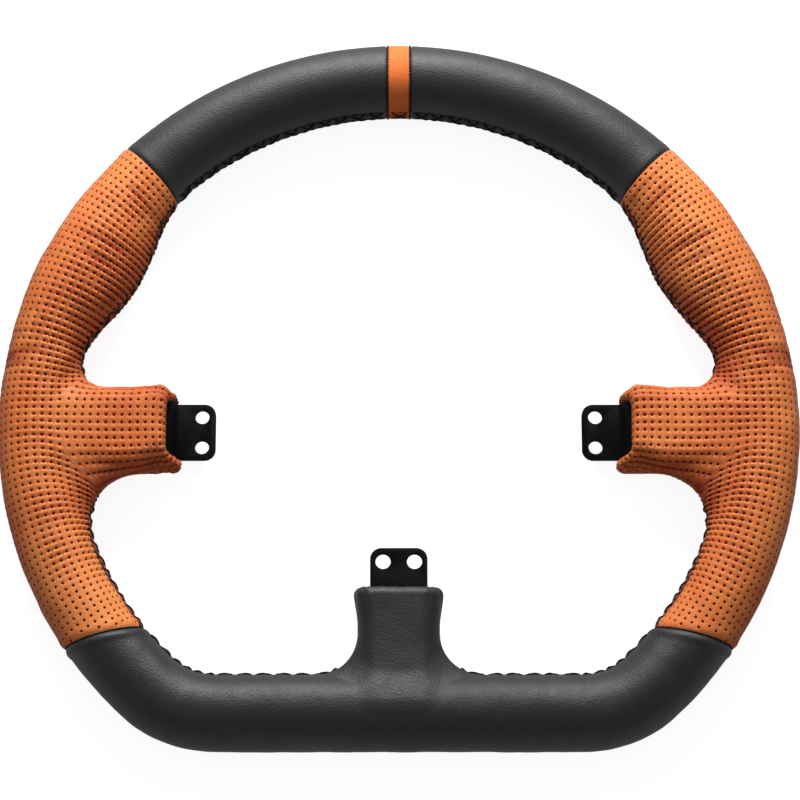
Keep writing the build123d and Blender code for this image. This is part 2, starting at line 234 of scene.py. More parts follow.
@dataclass(frozen=True)
class Sleeve:
    """A spoke's leather sleeve, in millimetres: out is measured from the hub, side towards its first edge.

    Attributes:
        first: Direction of the edge that comes first along the rim.
        lip: Where the leather ends on the front.
        lobe: Where it ends beside the plate, more than lobe_at from the middle.
        rear: Where it ends behind the plate.
        slope_top: Where the plate's crank comes out on the front.
        slope_foot: Where the crank comes out on the back.
        foot: Where the sleeve meets the middle of the rim.
        slant: How fast the lobe's end leans away from the hub beside its inner corner.
        bevel: Direction and reach of the flat along the first edge.
        bevel_fade: Where the flat begins to run out behind the lip, and how fast.
        bevel_depth: Depths inside the skin between which the flat is lost.
        waist: How far each edge is drawn in between the lip and the root.
        waist_span: Lengths behind the lip between which the waist takes hold.
        ramp: How far the front climbs towards the rim.
        ramp_edge: Height over the mid plane at which the climb is full.
        fall_length: Length past the foot over which the climb is lost.
        dive: How far the sleeve runs on inside the rim.
        tighten: Share of the fillet that the front loses.
        pinch: Share that it loses besides, close to the foot.
        tighten_back: Share of the fillet that the back loses.
        gather: Depth that the small folds gain at the corners of the lip.
        gather_all: Their depth all round it.
        gather_span: Lengths behind the lip over which they fade.
        gather_count: How many there are to a turn round a corner.
        gather_reach: How far to the side of the sleeve they are kept.
        lip_over: Share of the lip's radius by which the rings run on before they turn in.
        lip_shares: Shares of the width and height at which the lip's rings turn in.
        lip_blend: How far the last of them leans over to the plate.
        tucked: How far the leather runs in along the plate.
    """

    towards: tuple[float, float]
    first: tuple[float, float]
    first_fillet: float
    last_fillet: float
    front_fillet: float
    lip: float
    lobe: float
    rear: float
    lobe_at: float
    slope_top: float
    slope_foot: float
    foot: float
    slant: float = 0.0
    bevel: tuple[float, float, float] = (0.0, 1.0, 99.0)
    bevel_fade: tuple[float, float] = (3.0, 0.55)
    bevel_roll: float = 2.5
    bevel_depth: tuple[float, float] = (1.5, 7.0)
    waist: tuple[float, float] = (1.2, -0.5)
    waist_span: tuple[float, float] = (1.0, 14.0)
    ramp: float = 3.0
    ramp_length: float = 28.0
    ramp_edge: float = 6.0
    fall_length: float = 7.0
    dive: float = 0.0
    tighten: float = 0.72
    pinch: float = 0.2
    tighten_back: float = 0.7
    gather: float = 0.32
    gather_all: float = 0.07
    gather_span: tuple[float, float] = (1.0, 9.0)
    gather_count: float = 9.0
    gather_reach: float = 40.0
    half_width: float = 16.5
    half_height: float = 9.5
    edge: float = 8.0
    lip_roll: float = 3.2
    lip_over: float = 0.8
    lip_shares: tuple[tuple[float, float], ...] = ((0.93, 0.9), (0.8, 0.7))
    lip_blend: float = 0.45
    tucked: float = 3.5
    tab_half: float = 10.9
    plate: float = 2.5
    clearance: float = 0.25
    mid_z: float = 8.0

    def local(self, points: np.ndarray) -> tuple[np.ndarray, np.ndarray, np.ndarray]:
        """Gives points as their length out from the hub, across the sleeve and up from its mid plane."""
        flat = points[:, :2]
        return flat @ np.array(self.towards), flat @ np.array(self.first), points[:, 2] - self.mid_z

    def place(self, out: float, side: float, up: float) -> np.ndarray:
        """Finds the point at lengths out from the hub, across the sleeve and up from its mid plane."""
        flat = out * np.array(self.towards) + side * np.array(self.first)
        return np.array([*flat, self.mid_z + up])

    def end(self, side: np.ndarray, up: np.ndarray) -> np.ndarray:
        """Gives how far from the hub the leather ends, which is less beside and behind the plate.

        Args:
            side: Places across the sleeve.
            up: Heights over its mid plane.

        Returns:
            Lengths out from the hub.
        """
        low = 1 - smooth_step(-self.half_height * 0.2, self.half_height * 0.95, up)
        beside = smooth_step(self.lobe_at - 2.5, self.lobe_at + 2.5, np.abs(side))
        behind = 1 - smooth_step(-self.half_height, -self.half_height * 0.55, up)
        lobe = self.lobe + self.slant * np.maximum(side - self.lobe_at - 1.0, 0)
        return self.lip - np.maximum((self.lip - lobe) * low * beside, (self.lip - self.rear) * behind)

    def distance(self, points: np.ndarray) -> np.ndarray:
        """Measures how far points lie outside the sleeve.

        Args:
            points: One point a row.

        Returns:
            Distances, less than zero inside.
        """
        out, side, up = self.local(points)
        begin, full = self.waist_span
        waist = np.where(side > 0, *self.waist) * smooth_step(self.lip + begin, self.lip + full, out)
        wide = np.abs(side) - (self.half_width - waist - self.edge)
        climb = np.clip((out - self.foot) / self.ramp_length + 1, 0, 1) ** 2
        fall = np.maximum((out - self.foot) / self.fall_length, 0) ** 2
        rise = self.ramp * (climb - fall) * smooth_step(0.0, self.ramp_edge, up)
        high = np.abs(up) - (self.half_height + rise - self.edge)
        corner = np.hypot(np.maximum(wide, 0), np.maximum(high, 0))
        profile = corner + np.minimum(np.maximum(wide, high), 0) - self.edge
        side_share, up_share, reach = self.bevel
        begin, fade = self.bevel_fade
        reach = reach + fade * np.maximum(out - self.lip - begin, 0)
        slanted = side_share * side + up_share * up - reach
        cut = round_max(profile, slanted, self.bevel_roll) - profile
        profile = profile + cut * (1 - smooth_step(*self.bevel_depth, profile))
        body = round_max(profile, self.end(side, up) - out, self.lip_roll)
        return np.maximum(body, out - self.foot - self.dive)

    def fillet(self, points: np.ndarray) -> np.ndarray:
        """Gives the radius of the fillet at the root.

        Args:
            points: One point a row.

        Returns:
            Radii.
        """
        out, side, up = self.local(points)
        first = smooth_step(self.half_width * 0.3, self.half_width * 1.05, side)
        last = smooth_step(self.half_width * 0.3, self.half_width * 1.05, -side)
        middle = self.front_fillet * (1 - first - last)
        front, back = smooth_step(3.0, 11.0, up), smooth_step(1.0, 9.0, -up)
        tight = front * (self.tighten + self.pinch * smooth_step(self.foot - 18.0, self.foot - 6.0, out))
        size = self.first_fillet * first + self.last_fillet * last + middle
        size = size * (1 - tight - self.tighten_back * back)
        return size * (1 - smooth_step(self.foot + 4.0, self.foot + 12.0, out))

    def outline(self, share: float) -> tuple[float, float]:
        """Finds a place on the front half of the sleeve's outline.

        Args:
            share: 0 in the middle of the first edge, 1 in the middle of the last one.

        Returns:
            The place across the sleeve and up from its mid plane.
        """
        flat_side, flat_front = self.half_height - self.edge, self.half_width - self.edge
        arc = self.edge * math.pi / 2
        run = min(share, 1 - share) * 2 * (flat_side + arc + flat_front)
        sign = 1 if share <= 0.5 else -1
        if run < flat_side:
            return sign * self.half_width, run
        if run < flat_side + arc:
            turn = (run - flat_side) / self.edge
            return sign * (flat_front + self.edge * math.cos(turn)), flat_side + self.edge * math.sin(turn)
        return sign * (flat_front + arc + flat_side - run), self.half_height

    def mouth(self, share: float, up_sign: float, inside: float) -> np.ndarray:
        """Finds a place on the edge of the leather where it meets the plate.

        Args:
            share: Place on the outline, as for outline.
            up_sign: 1 on the front and -1 on the back.
            inside: How far the place lies inside the sleeve.

        Returns:
            The point.
        """
        side, up = self.outline(share)
        reach = max(abs(side) / self.half_width, abs(up) / self.half_height)
        side = np.clip(side / reach * 1.15, -self.half_width, self.half_width)
        side = side / self.half_width * self.tab_half
        depth = up_sign * min(1.0, abs(up) / self.half_height / reach)
        out = self.slope_foot + (self.slope_top - self.slope_foot) * (0.5 + 0.5 * depth) + inside
        rise = np.clip((out - self.slope_foot) / (self.slope_top - self.slope_foot), 0, 1)
        middle = self.plate / 2 - self.mid_z + (self.mid_z - self.plate / 2) * rise
        return self.place(out, float(side), float(middle + depth * (self.plate / 2 + self.clearance)))

    def ring_place(
        self, ring: int, rings: int, start: float, share: float, sign: float,
    ) -> np.ndarray | Vector:
        """Finds a place on a ring of the sleeve: along its length, over its lip, or in along the plate.

        Args:
            ring: The ring's number from the root.
            rings: Number of the last ring before the lip.
            start: How far from the hub the sleeve starts here.
            share: Place on the outline, as for outline.
            sign: 1 on the front and -1 on the back.

        Returns:
            The point.
        """
        side, up = self.outline(share)
        end = float(self.end(np.array(side), np.array(sign * up))) + self.lip_roll * self.lip_over
        if ring <= rings:
            return self.place(start + (end - start) * ring / rings, side, sign * up)
        if ring > rings + len(self.lip_shares):
            last_tucked = ring > rings + len(self.lip_shares) + 1
            return self.mouth(share, sign, self.tucked if last_tucked else 0.0)
        wide, high = self.lip_shares[ring - rings - 1]
        lip = self.place(end - self.lip_roll, side * wide, sign * up * high)
        if ring == rings + 1:
            return lip
        return Vector(lip).lerp(Vector(self.mouth(share, sign, 0.0)), self.lip_blend)


RIM = RimShape()
SIDE_SLEEVE = Sleeve(
    towards=(-1.0, 0.0), first=(0.0, 1.0), first_fillet=12.2, last_fillet=26.5, front_fillet=14.0,
    lip=87.0, lobe=81.7, rear=83.4, lobe_at=10.5, slope_top=87.4, slope_foot=84.2, foot=132.0,
    slant=1.4, bevel=(-0.825, 0.566, 13.05), ramp=3.4, ramp_length=25.0,
)
BOTTOM_SLEEVE = Sleeve(
    towards=(0.0, -1.0), first=(-1.0, 0.0), first_fillet=15.5, last_fillet=15.5, front_fillet=16.0,
    lip=61.4, lobe=60.9, rear=60.6, lobe_at=11.5, slope_top=64.8, slope_foot=61.6, foot=104.0,
    waist=(1.3, 1.3), dive=7.0, pinch=0.0, gather=0.08,
)


@dataclass(frozen=True)
class SeamPlane:
    """A cross seam between two panels: a plane through a point, whose normal points along the rim."""

    point: tuple[float, float]
    normal: tuple[float, float]
    reach: float = 45.0

    def ahead(self, points: np.ndarray) -> np.ndarray:
        """Gives distances of points ahead of the seam."""
        return (points[:, :2] - np.array(self.point)) @ np.array(self.normal)

    def beside(self, points: np.ndarray) -> np.ndarray:
        """Tells which points lie near the seam, and not across the wheel from it."""
        return np.hypot(points[:, 0] - self.point[0], points[:, 1] - self.point[1]) < self.reach


def seam_at(angle: float, slope: float | None = None) -> SeamPlane:
    """Makes the seam that crosses the rim at an angle.

    Args:
        angle: Where it crosses the centreline, in degrees from three o'clock.
        slope: The seam's own line, in degrees up from the horizontal, or None where it is square to the rim.

    Returns:
        The seam, with its normal down the left side.
    """
    turn = math.radians(angle)
    line = turn if slope is None else math.radians(180 + slope)
    point = (RIM.ring * math.cos(turn), RIM.centre_y + RIM.ring * math.sin(turn))
    return SeamPlane(point, (-math.sin(line), math.cos(line)))


def flipped(seam: SeamPlane) -> SeamPlane:
    """Gives the same seam on the other side of the wheel, still facing along the run."""
    return SeamPlane((-seam.point[0], seam.point[1]), (seam.normal[0], -seam.normal[1]))


STRIPE_ANGLE, UPPER_ANGLE, LOWER_ANGLE = 91.8, 134.3, 217.2
STRIPE_SEAM = seam_at(STRIPE_ANGLE, -90.0)
UPPER_SEAM = seam_at(UPPER_ANGLE)
LOWER_SEAM = seam_at(LOWER_ANGLE, 16.0)


def run_at(angle: float) -> float:
    """Gives the length along the centreline from twelve o'clock to an angle on the left."""
    return RIM.ring * math.radians(angle - 90)


def ripple(points: np.ndarray, size: float, seed: int, octaves: int = 1) -> np.ndarray:
    """Samples smooth noise.

    Args:
        points: One point a row.
        size: Length of a ripple, in the units of the points.
        seed: Moves the sampling, so that pieces differ.
        octaves: How many finer layers it has.

    Returns:
        Values from about -1 to 1.
    """
    shift = Vector((seed * 7.31, seed * 3.17, seed * 5.73))
    out = np.zeros(len(points))
    for n in range(octaves):
        step = 2**n / size
        out += [noise.noise(Vector(p) * step + shift) / 2**n for p in points]
    return out * FULL_SWING


def over_skin(row: np.ndarray, col: np.ndarray, row_step: float, col_step: float) -> np.ndarray:
    """Lays rows and lengths round the section out as points at which noise is sampled, one a row."""
    return np.stack([row * row_step, col * col_step, col * 0], axis=1)


def unit(slope: np.ndarray) -> np.ndarray:
    """Gives slopes, one a row, a length of one."""
    return slope / np.maximum(np.linalg.norm(slope, axis=1), TINY)[:, None]


# ---------------------------------------------------------------- making pieces


def tube_mesh(
    name: str, lines: Iterable[Sequence[tuple[np.ndarray, float]]], closed: bool = False,
) -> bpy.types.Mesh:
    """Makes round tubes along lines.

    Args:
        name: Name of the mesh.
        lines: Lines of (point, radius), in millimetres.
        closed: Whether each line runs into its own start.

    Returns:
        The mesh, in metres.
    """
    curve = bpy.data.curves.new(name, "CURVE")
    curve.dimensions = "3D"
    curve.bevel_depth = MM
    curve.bevel_resolution = 2
    curve.use_fill_caps = not closed
    for line in lines:
        spline = curve.splines.new("POLY")
        spline.points.add(len(line) - 1)
        spline.use_cyclic_u = closed
        for point, (place, radius) in zip(spline.points, line):
            point.co = (*(Vector(place) * MM), 1.0)
            point.radius = radius
    holder = bpy.data.objects.new(name, curve)
    mesh = bpy.data.meshes.new_from_object(holder)
    mesh.name = name
    bpy.data.objects.remove(holder)
    bpy.data.curves.remove(curve)
    merged = bmesh.new()
    merged.from_mesh(mesh)
    bmesh.ops.remove_doubles(merged, verts=merged.verts, dist=0.001 * MM)
    merged.to_mesh(mesh)
    merged.free()
    return mesh


def place_piece(
    name: str, mesh: bpy.types.Mesh, material: bpy.types.Material, node: str,
) -> bpy.types.Object:
    """Links a finished mesh as a piece that rides on the wheel.

    Args:
        name: Name of the piece.
        mesh: Its mesh, in metres.
        material: Its material.
        node: CAD node that it stands for.

    Returns:
        The piece.
    """
    mesh.materials.clear()
    mesh.materials.append(material)
    mesh.shade_smooth()
    piece = bpy.data.objects.new(name, mesh)
    bpy.context.scene.collection.objects.link(piece)
    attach(piece, "root")
    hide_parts(node)
    log.info("%s: %d faces", name, len(mesh.polygons))
    return piece


def mirror_mesh(mesh: bpy.types.Mesh) -> None:
    """Turns a mesh into its mirror image on the other side of the wheel."""
    mesh.transform(Matrix.Scale(-1, 4, (1, 0, 0)))
    mesh.flip_normals()


def slopes(
    distance: Callable[[np.ndarray], np.ndarray], points: np.ndarray,
) -> tuple[np.ndarray, np.ndarray]:
    """Measures a distance and the direction in which it grows.

    Args:
        distance: The distance to a surface.
        points: One point a row.

    Returns:
        The distances, and the slopes, one a row.
    """
    here = distance(points)
    step = 0.02
    grows = [(distance(points + step * axis) - here) / step for axis in np.eye(3)]
    return here, np.stack(grows, axis=1)


# ---------------------------------------------------------------- leather


@dataclass(frozen=True)
class Pleats:
    """A stretch of gathered leather.

    Attributes:
        inner: Share of the way round the skin, from the outside to the seam, at which it is full.
        outer: Share at which it is lost.
    """

    first: float
    last: float
    inner: float
    outer: float
    depth: float
    fade: float = 5.0

    def strength(self, angle: np.ndarray, share: np.ndarray) -> np.ndarray:
        """Gives the depth of the gathers.

        Args:
            angle: Angles on the rim.
            share: Shares of the way round the skin.

        Returns:
            Depths, in millimetres.
        """
        along = smooth_step(self.first - self.fade, self.first + self.fade, angle)
        along *= 1 - smooth_step(self.last - self.fade, self.last + self.fade, angle)
        return self.depth * along * smooth_step(self.outer, self.inner, share)


@dataclass(frozen=True)
class Fold:
    """A single crease across the rim.

    Attributes:
        lean: Degrees by which it leaves that angle on the way to the seam.
        width: Its width, in degrees.
        first: Share of the way round the skin at which it begins.
        last: Share at which it ends.
        soft: Shares over which it comes and goes.
    """

    angle: float
    lean: float
    width: float
    depth: float
    first: float
    last: float
    shade: float = 0.5
    soft: tuple[float, float] = (0.06, 0.1)

    def line(self, angle: np.ndarray, share: np.ndarray) -> np.ndarray:
        """Measures how near points lie to the crease.

        Args:
            angle: Angles on the rim.
            share: Shares of the way round the skin.

        Returns:
            Values from 0 to 1.
        """
        begin, end = self.soft
        off = (angle - self.angle - self.lean * (share - self.first)) / self.width
        along = smooth_step(self.first - begin, self.first + begin, share)
        return np.exp(-off * off) * along * (1 - smooth_step(self.last - end, self.last + end, share))


@dataclass
class Skin:
    """A leather panel that is wrapped round the rim, with a sleeve round a spoke where it has one.

    Runs are lengths along the rim's centreline from twelve o'clock, where the rows of cells begin and end.

    Attributes:
        laced: Runs between which the panel is laced along the inside of the rim.
        pitch: Width of a cell round the section.
        slit: Half the gap between the laced edges.
        root: Rows between which the panel opens into the sleeve.
        relax_rows: Rows before and after the root in which the cells are evened out.
        relax_from: Length round the section past which they are.
        rounds: How often the cells are halved.
        lumps: Height of the broad unevenness, whose patches are lump_size wide.
        creases: Height of the fine crossing creases.
        puff: How far the leather stands up beside a cross seam.
        tuck_shade: How much painted shade lies in the groove of a cross seam.
        side_shade: How strongly the folds' colour is laid on as painted shade where the skin faces away from
            the light and under the sleeve.
    """

    name: str
    runs: np.ndarray
    start: SeamPlane
    stop: SeamPlane
    laced: Sequence[tuple[float, float]]
    seed: int
    lumps: float
    puff: float
    pitch: float = 3.05
    slit: float = 0.25
    half_girth: float = 55.0
    sleeve: Sleeve | None = None
    root: tuple[int, int] = (0, 0)
    rings: int = 12
    relax_rows: tuple[int, int] = (14, 18)
    relax_from: float = 22.0
    relax_rounds: int = 24
    pierced: bool = False
    rounds: int = 2
    lump_size: float = 14.0
    creases: float = 0.0
    pleats: Sequence[Pleats] = ()
    pleat_shade: float = 0.85
    pinches: Sequence[Pleats] = ()
    pinch_width: float = 0.16
    pinch_shade: float = 0.4
    folds: Sequence[Fold] = ()
    side_shade: float = 0.0
    puff_at: float = 2.4
    puff_width: float = 1.3
    tuck_shade: float = 1.0
    tuck_depth: float = 0.9
    tuck_width: float = 0.6
    hole_radius: float = 0.5
    hole_depth: float = 0.6
    whole_spans: tuple[float, float] = (0.72, 3.4)
    mesh: bmesh.types.BMesh = field(default_factory=bmesh.new)

    def distance(self, points: np.ndarray) -> np.ndarray:
        """Measures how far points lie off the panel's smooth outer face.

        Args:
            points: One point a row.

        Returns:
            Distances, less than zero inside.
        """
        rim = RIM.distance(points)
        if self.sleeve is None:
            return rim
        return round_min(rim, self.sleeve.distance(points), self.sleeve.fillet(points))

    def reach(self, row: int) -> float:
        """Gives how far round the section the panel reaches.

        Args:
            row: Row of cells.

        Returns:
            Length of skin from the outside of the rim to the panel's edge.
        """
        run = float(self.runs[row])
        _, _, angle = RIM.station(run)
        half = RIM.half_round(angle)
        first, last = self.root
        if self.sleeve and first < row < last:
            _, up = self.sleeve.outline((row - first) / (last - first))
            _, height, lift = (float(v) for v in RIM.halves(np.array(angle)))
            turn = math.pi - math.asin(np.clip((up - lift) / height, 0, 1))
            return half * turn / math.pi
        sewn = any(low <= run <= high for low, high in self.laced)
        return half - (self.slit if sewn else 0.0)

    def build_grid(self) -> None:
        """Wraps a flat grid of cells round the rim."""
        rows = len(self.runs) - 1
        half = math.ceil(self.half_girth / self.pitch)
        bmesh.ops.create_grid(self.mesh, x_segments=2 * half, y_segments=rows, size=1.0)
        layers = self.mesh.verts.layers.float
        for name in ("row", "col", "free", "deep", "pit"):
            layers.new(name)
        self.mesh.faces.layers.int.new("cell")
        row_of, col_of, free_of = layers["row"], layers["col"], layers["free"]
        for vert in self.mesh.verts:
            row = round((vert.co.y + 1) / 2 * rows)
            col = round((vert.co.x + 1) * half) - half
            reach = self.reach(row)
            across = col * self.pitch
            if abs(across) > reach - 0.4 * self.pitch:
                across = math.copysign(reach, across)
            vert[row_of], vert[col_of], vert[free_of] = row, across, 1.0
            vert.co = RIM.skin_point(float(self.runs[row]), across)
        bmesh.ops.remove_doubles(self.mesh, verts=self.mesh.verts, dist=0.01)

    def build_sleeve(self) -> None:
        """Draws the open root out into the sleeve, over its lip and in to the plate."""
        first, last = self.root
        layers = self.mesh.verts.layers.float
        row_of, col_of, free_of = layers["row"], layers["col"], layers["free"]
        loop = [
            e for e in self.mesh.edges
            if e.is_boundary and all(first - 0.1 <= v[row_of] <= last + 0.1 for v in e.verts)
        ]
        starts = {}
        tucked = self.rings + len(self.sleeve.lip_shares) + 1
        for ring in range(1, tucked + 2):
            made = bmesh.ops.extrude_edge_only(self.mesh, edges=loop)["geom"]
            verts = [g for g in made if isinstance(g, bmesh.types.BMVert)]
            new = set(verts)
            loop = [g for g in made if isinstance(g, bmesh.types.BMEdge) and all(v in new for v in g.verts)]
            for vert in verts:
                share = (vert[row_of] - first) / (last - first)
                sign = 1.0 if vert[col_of] >= 0 else -1.0
                key = (round(share * (last - first)), sign)
                if ring == 1:
                    starts[key] = vert.co.xy.dot(self.sleeve.towards), abs(vert[col_of])
                start, across = starts[key]
                vert.co = self.sleeve.ring_place(ring, self.rings, start, share, sign)
                vert[col_of] = sign * (across + ring * self.pitch)
                if ring >= tucked:
                    vert[free_of] = 0.0

    def settle(self, verts: Sequence[bmesh.types.BMVert]) -> None:
        """Moves points on to the panel's smooth face, as far as each is free to.

        Args:
            verts: The points.
        """
        free_of = self.mesh.verts.layers.float["free"]
        points = np.array([v.co for v in verts])
        share = np.array([v[free_of] for v in verts])
        for _ in range(4):
            gap, slope = slopes(self.distance, points)
            steep = np.maximum((slope**2).sum(axis=1), 0.05)
            step = slope * (gap / steep)[:, None]
            size = np.maximum(np.linalg.norm(step, axis=1), 1e-9)
            step *= np.minimum(1, 2.5 / size)[:, None]
            points -= step * share[:, None]
        for vert, point in zip(verts, points):
            vert.co = point

    def relax_root(self) -> None:
        """Evens out the cells round the root of the sleeve."""
        before, after = self.relax_rows
        row_of, col_of, free_of = (self.mesh.verts.layers.float[n] for n in ("row", "col", "free"))
        first, last = self.root
        zone = []
        for vert in self.mesh.verts:
            near = first - before <= vert[row_of] <= last + after and abs(vert[col_of]) > self.relax_from
            out = vert.co.xy.dot(self.sleeve.towards)
            if near and not vert.is_boundary and vert[free_of] > 0.9 and out > self.sleeve.lip + 2.5:
                zone.append(vert)
        for _ in range(self.relax_rounds):
            bmesh.ops.smooth_vert(
                self.mesh, verts=zone, factor=0.5, use_axis_x=True, use_axis_y=True, use_axis_z=True,
            )
            self.settle(zone)

    def mark_cells(self) -> None:
        """Numbers the cells, which stay whole when they are divided."""
        cell_of = self.mesh.faces.layers.int["cell"]
        for number, face in enumerate(self.mesh.faces):
            face[cell_of] = number

    def divide(self) -> None:
        """Halves every edge and settles the new points on the smooth face."""
        bmesh.ops.subdivide_edges(self.mesh, edges=self.mesh.edges, cuts=1, use_grid_fill=True)
        self.settle(list(self.mesh.verts))

    def trim(self) -> None:
        """Cuts the panel off at its two cross seams."""
        for seam, sign in ((self.start, 1), (self.stop, -1)):
            verts = list(self.mesh.verts)
            lines = [*self.mesh.edges, *self.mesh.faces]
            places = np.array([v.co for v in verts] + [g.verts[0].co for g in lines])
            near = [g for g, beside in zip([*verts, *lines], seam.beside(places)) if beside]
            bmesh.ops.bisect_plane(
                self.mesh, geom=near, dist=0.02, plane_co=(*seam.point, 0),
                plane_no=Vector((*seam.normal, 0)) * sign, clear_inner=True, clear_outer=False,
            )

    def seam_gaps(self, points: np.ndarray) -> np.ndarray:
        """Measures how far points inside the panel lie from the nearer cross seam.

        Args:
            points: One point a row.

        Returns:
            Distances.
        """
        gaps = np.full(len(points), EVERYWHERE)
        for seam in (self.start, self.stop):
            gaps = np.where(seam.beside(points), np.minimum(gaps, np.abs(seam.ahead(points))), gaps)
        return gaps

    def gathers(
        self, points: np.ndarray, row: np.ndarray, col: np.ndarray, strength: np.ndarray,
    ) -> tuple[np.ndarray, np.ndarray]:
        """Works out the pleats that run along the rows of cells.

        Args:
            points: Points of the smooth face.
            row: Rows of cells along the rim.
            col: Lengths round the section.
            strength: How deep the pleats are at the points.

        Returns:
            Their depth, and where each point lies between a pleat's crest, 0, and its foot, 1.
        """
        wander = 0.16 * ripple(points, 9.0, self.seed + 3)
        wave = 0.5 - 0.5 * np.cos(2 * np.pi * (row + wander))
        patches = ripple(over_skin(row, col, 0.9, 0.35), 3.2, self.seed + 5)
        return strength * np.clip(1.0 + 0.75 * patches, 0.25, 1.6), wave

    def painted_side_shade(self, points: np.ndarray, angle: np.ndarray, share: np.ndarray) -> np.ndarray:
        """Works out where painted shade in the folds' colour lies: on the outer face, on the inner face over
        the sleeve, and under the sleeve.

        Args:
            points: Points of the smooth face.
            angle: Their angles on the rim.
            share: Shares of the way round the skin.

        Returns:
            Values from 0 to 1.
        """
        # Painted shade: these places all turn away from the light.
        towards_sleeve = 0.4 + 0.6 * smooth_step(142, 172, angle)
        outside = smooth_step(0.34, 0.06, share) * towards_sleeve
        over_sleeve = smooth_step(138, 156, angle) * smooth_step(180, 166, angle)
        inside = smooth_step(0.66, 0.9, share) * over_sleeve
        darkened = np.maximum(self.side_shade * outside, 0.9 * self.side_shade * inside)
        if self.sleeve and self.side_shade:
            _, side, up = self.sleeve.local(points)
            below = smooth_step(8.0, 15.0, -side) * smooth_step(-42.0, -30.0, side)
            under = below * smooth_step(9.0, 5.0, up)
            darkened = np.maximum(darkened, self.side_shade * under * (share > 0.4))
        return darkened

    def relief(
        self, points: np.ndarray, row: np.ndarray, col: np.ndarray,
    ) -> tuple[np.ndarray, np.ndarray]:
        """Works out how the leather stands off its smooth face.

        Args:
            points: Points of the smooth face.
            row: Rows of cells along the rim.
            col: Lengths round the section, signed by the face of the wheel.

        Returns:
            Heights in millimetres, and the painted shade at each point, from 0 to 1: deep in gathers, pinches
            and folds, in the grooves of cross seams, and on the sides that face away from the light.
        """
        angle = np.degrees(np.arctan2(points[:, 1] - RIM.centre_y, -np.abs(points[:, 0]))) % 360
        width, height, _ = RIM.halves(angle)
        share = np.abs(col) / (np.pi * (width + height) / 2)
        rise = self.lumps * ripple(points, self.lump_size, self.seed, 2)
        valley = np.zeros(len(points))
        if self.pleats:
            depth, wave = self.gathers(points, row, col, sum(p.strength(angle, share) for p in self.pleats))
            rise += depth * (0.45 - wave)
            # Painted shade in the troughs of the gathers.
            valley = np.clip(depth * wave * self.pleat_shade, 0, 0.7)
        if self.creases:
            rise += self.creases * ripple(over_skin(row, col, 1.6, 0.3), 2.0, self.seed + 9, 2)
        gap = self.seam_gaps(points)
        tuck = np.exp(-((gap / self.tuck_width) ** 2))
        puffed = np.exp(-(((gap - self.puff_at) / self.puff_width) ** 2))
        rise += self.puff * puffed - self.tuck_depth * tuck
        for pinch in self.pinches:
            drawn = ripple(over_skin(row, col, 0.42, 0.06), 1.0, self.seed + 13)
            line = np.exp(-((drawn / self.pinch_width) ** 2)) * pinch.strength(angle, share)
            rise -= line
            valley += self.pinch_shade * line
        if self.sleeve:
            rise += self.lip_folds(points)
        for fold in self.folds:
            line = fold.line(angle, np.copysign(share, col))
            rise -= fold.depth * line
            valley += fold.shade * line
        # Painted shade on the sides that turn away from the light.
        darkened = self.painted_side_shade(points, angle, share)
        # The grooves of the cross seams take painted shade too.
        return rise, np.clip(valley + self.tuck_shade * tuck + darkened, 0, 1)

    def lip_folds(self, points: np.ndarray) -> np.ndarray:
        """Works out the small folds round the lip of the sleeve, which are strongest at its corners.

        Args:
            points: Points of the smooth face.

        Returns:
            Heights in millimetres.
        """
        out, side, up = self.sleeve.local(points)
        begin, end = self.sleeve.gather_span
        near = 1 - smooth_step(self.sleeve.lip + begin, self.sleeve.lip + end, out)
        corner = smooth_step(self.sleeve.half_width * 0.35, self.sleeve.half_width * 0.8, np.abs(side))
        turn = np.arctan2(up - 2.0, np.abs(side) - self.sleeve.half_width * 0.55)
        wander = ripple(points, 7.0, self.seed + 11) * 2.0
        fold = np.cos(turn * self.sleeve.gather_count + wander + np.sign(side))
        depth = self.sleeve.gather_all + self.sleeve.gather * corner
        return near * depth * fold * (np.abs(side) < self.sleeve.gather_reach)

    def shape_relief(self) -> None:
        """Moves the skin off its smooth face into gathers, folds and lumps."""
        self.mesh.normal_update()
        layers = self.mesh.verts.layers.float
        verts = list(self.mesh.verts)
        points = np.array([v.co for v in verts])
        normals = np.array([v.normal for v in verts])
        row, col, free = (np.array([v[layers[n]] for v in verts]) for n in ("row", "col", "free"))
        rise, valley = self.relief(points, row, col)
        points += normals * (rise * free)[:, None]
        # The shade share is kept for the material as painted shade.
        deep_of = layers["deep"]
        for vert, point, deep in zip(verts, points, valley):
            vert.co = point
            vert[deep_of] = deep

    def whole_cells(self) -> list[list[bmesh.types.BMVert]]:
        """Finds the cells that are whole and large enough to be pierced.

        Returns:
            Their middle points.
        """
        cell_of = self.mesh.faces.layers.int["cell"]
        free_of = self.mesh.verts.layers.float["free"]
        smallest, largest = self.whole_spans
        middles = []
        for vert in self.mesh.verts:
            faces = vert.link_faces
            whole = len(faces) == 4 and all(len(f.verts) == 4 for f in faces)
            if not whole or vert[free_of] < 0.99 or len({f[cell_of] for f in faces}) != 1:
                continue
            spans = [e.calc_length() for e in vert.link_edges]
            if min(spans) > smallest and max(spans) < largest:
                middles.append(vert)
        return middles

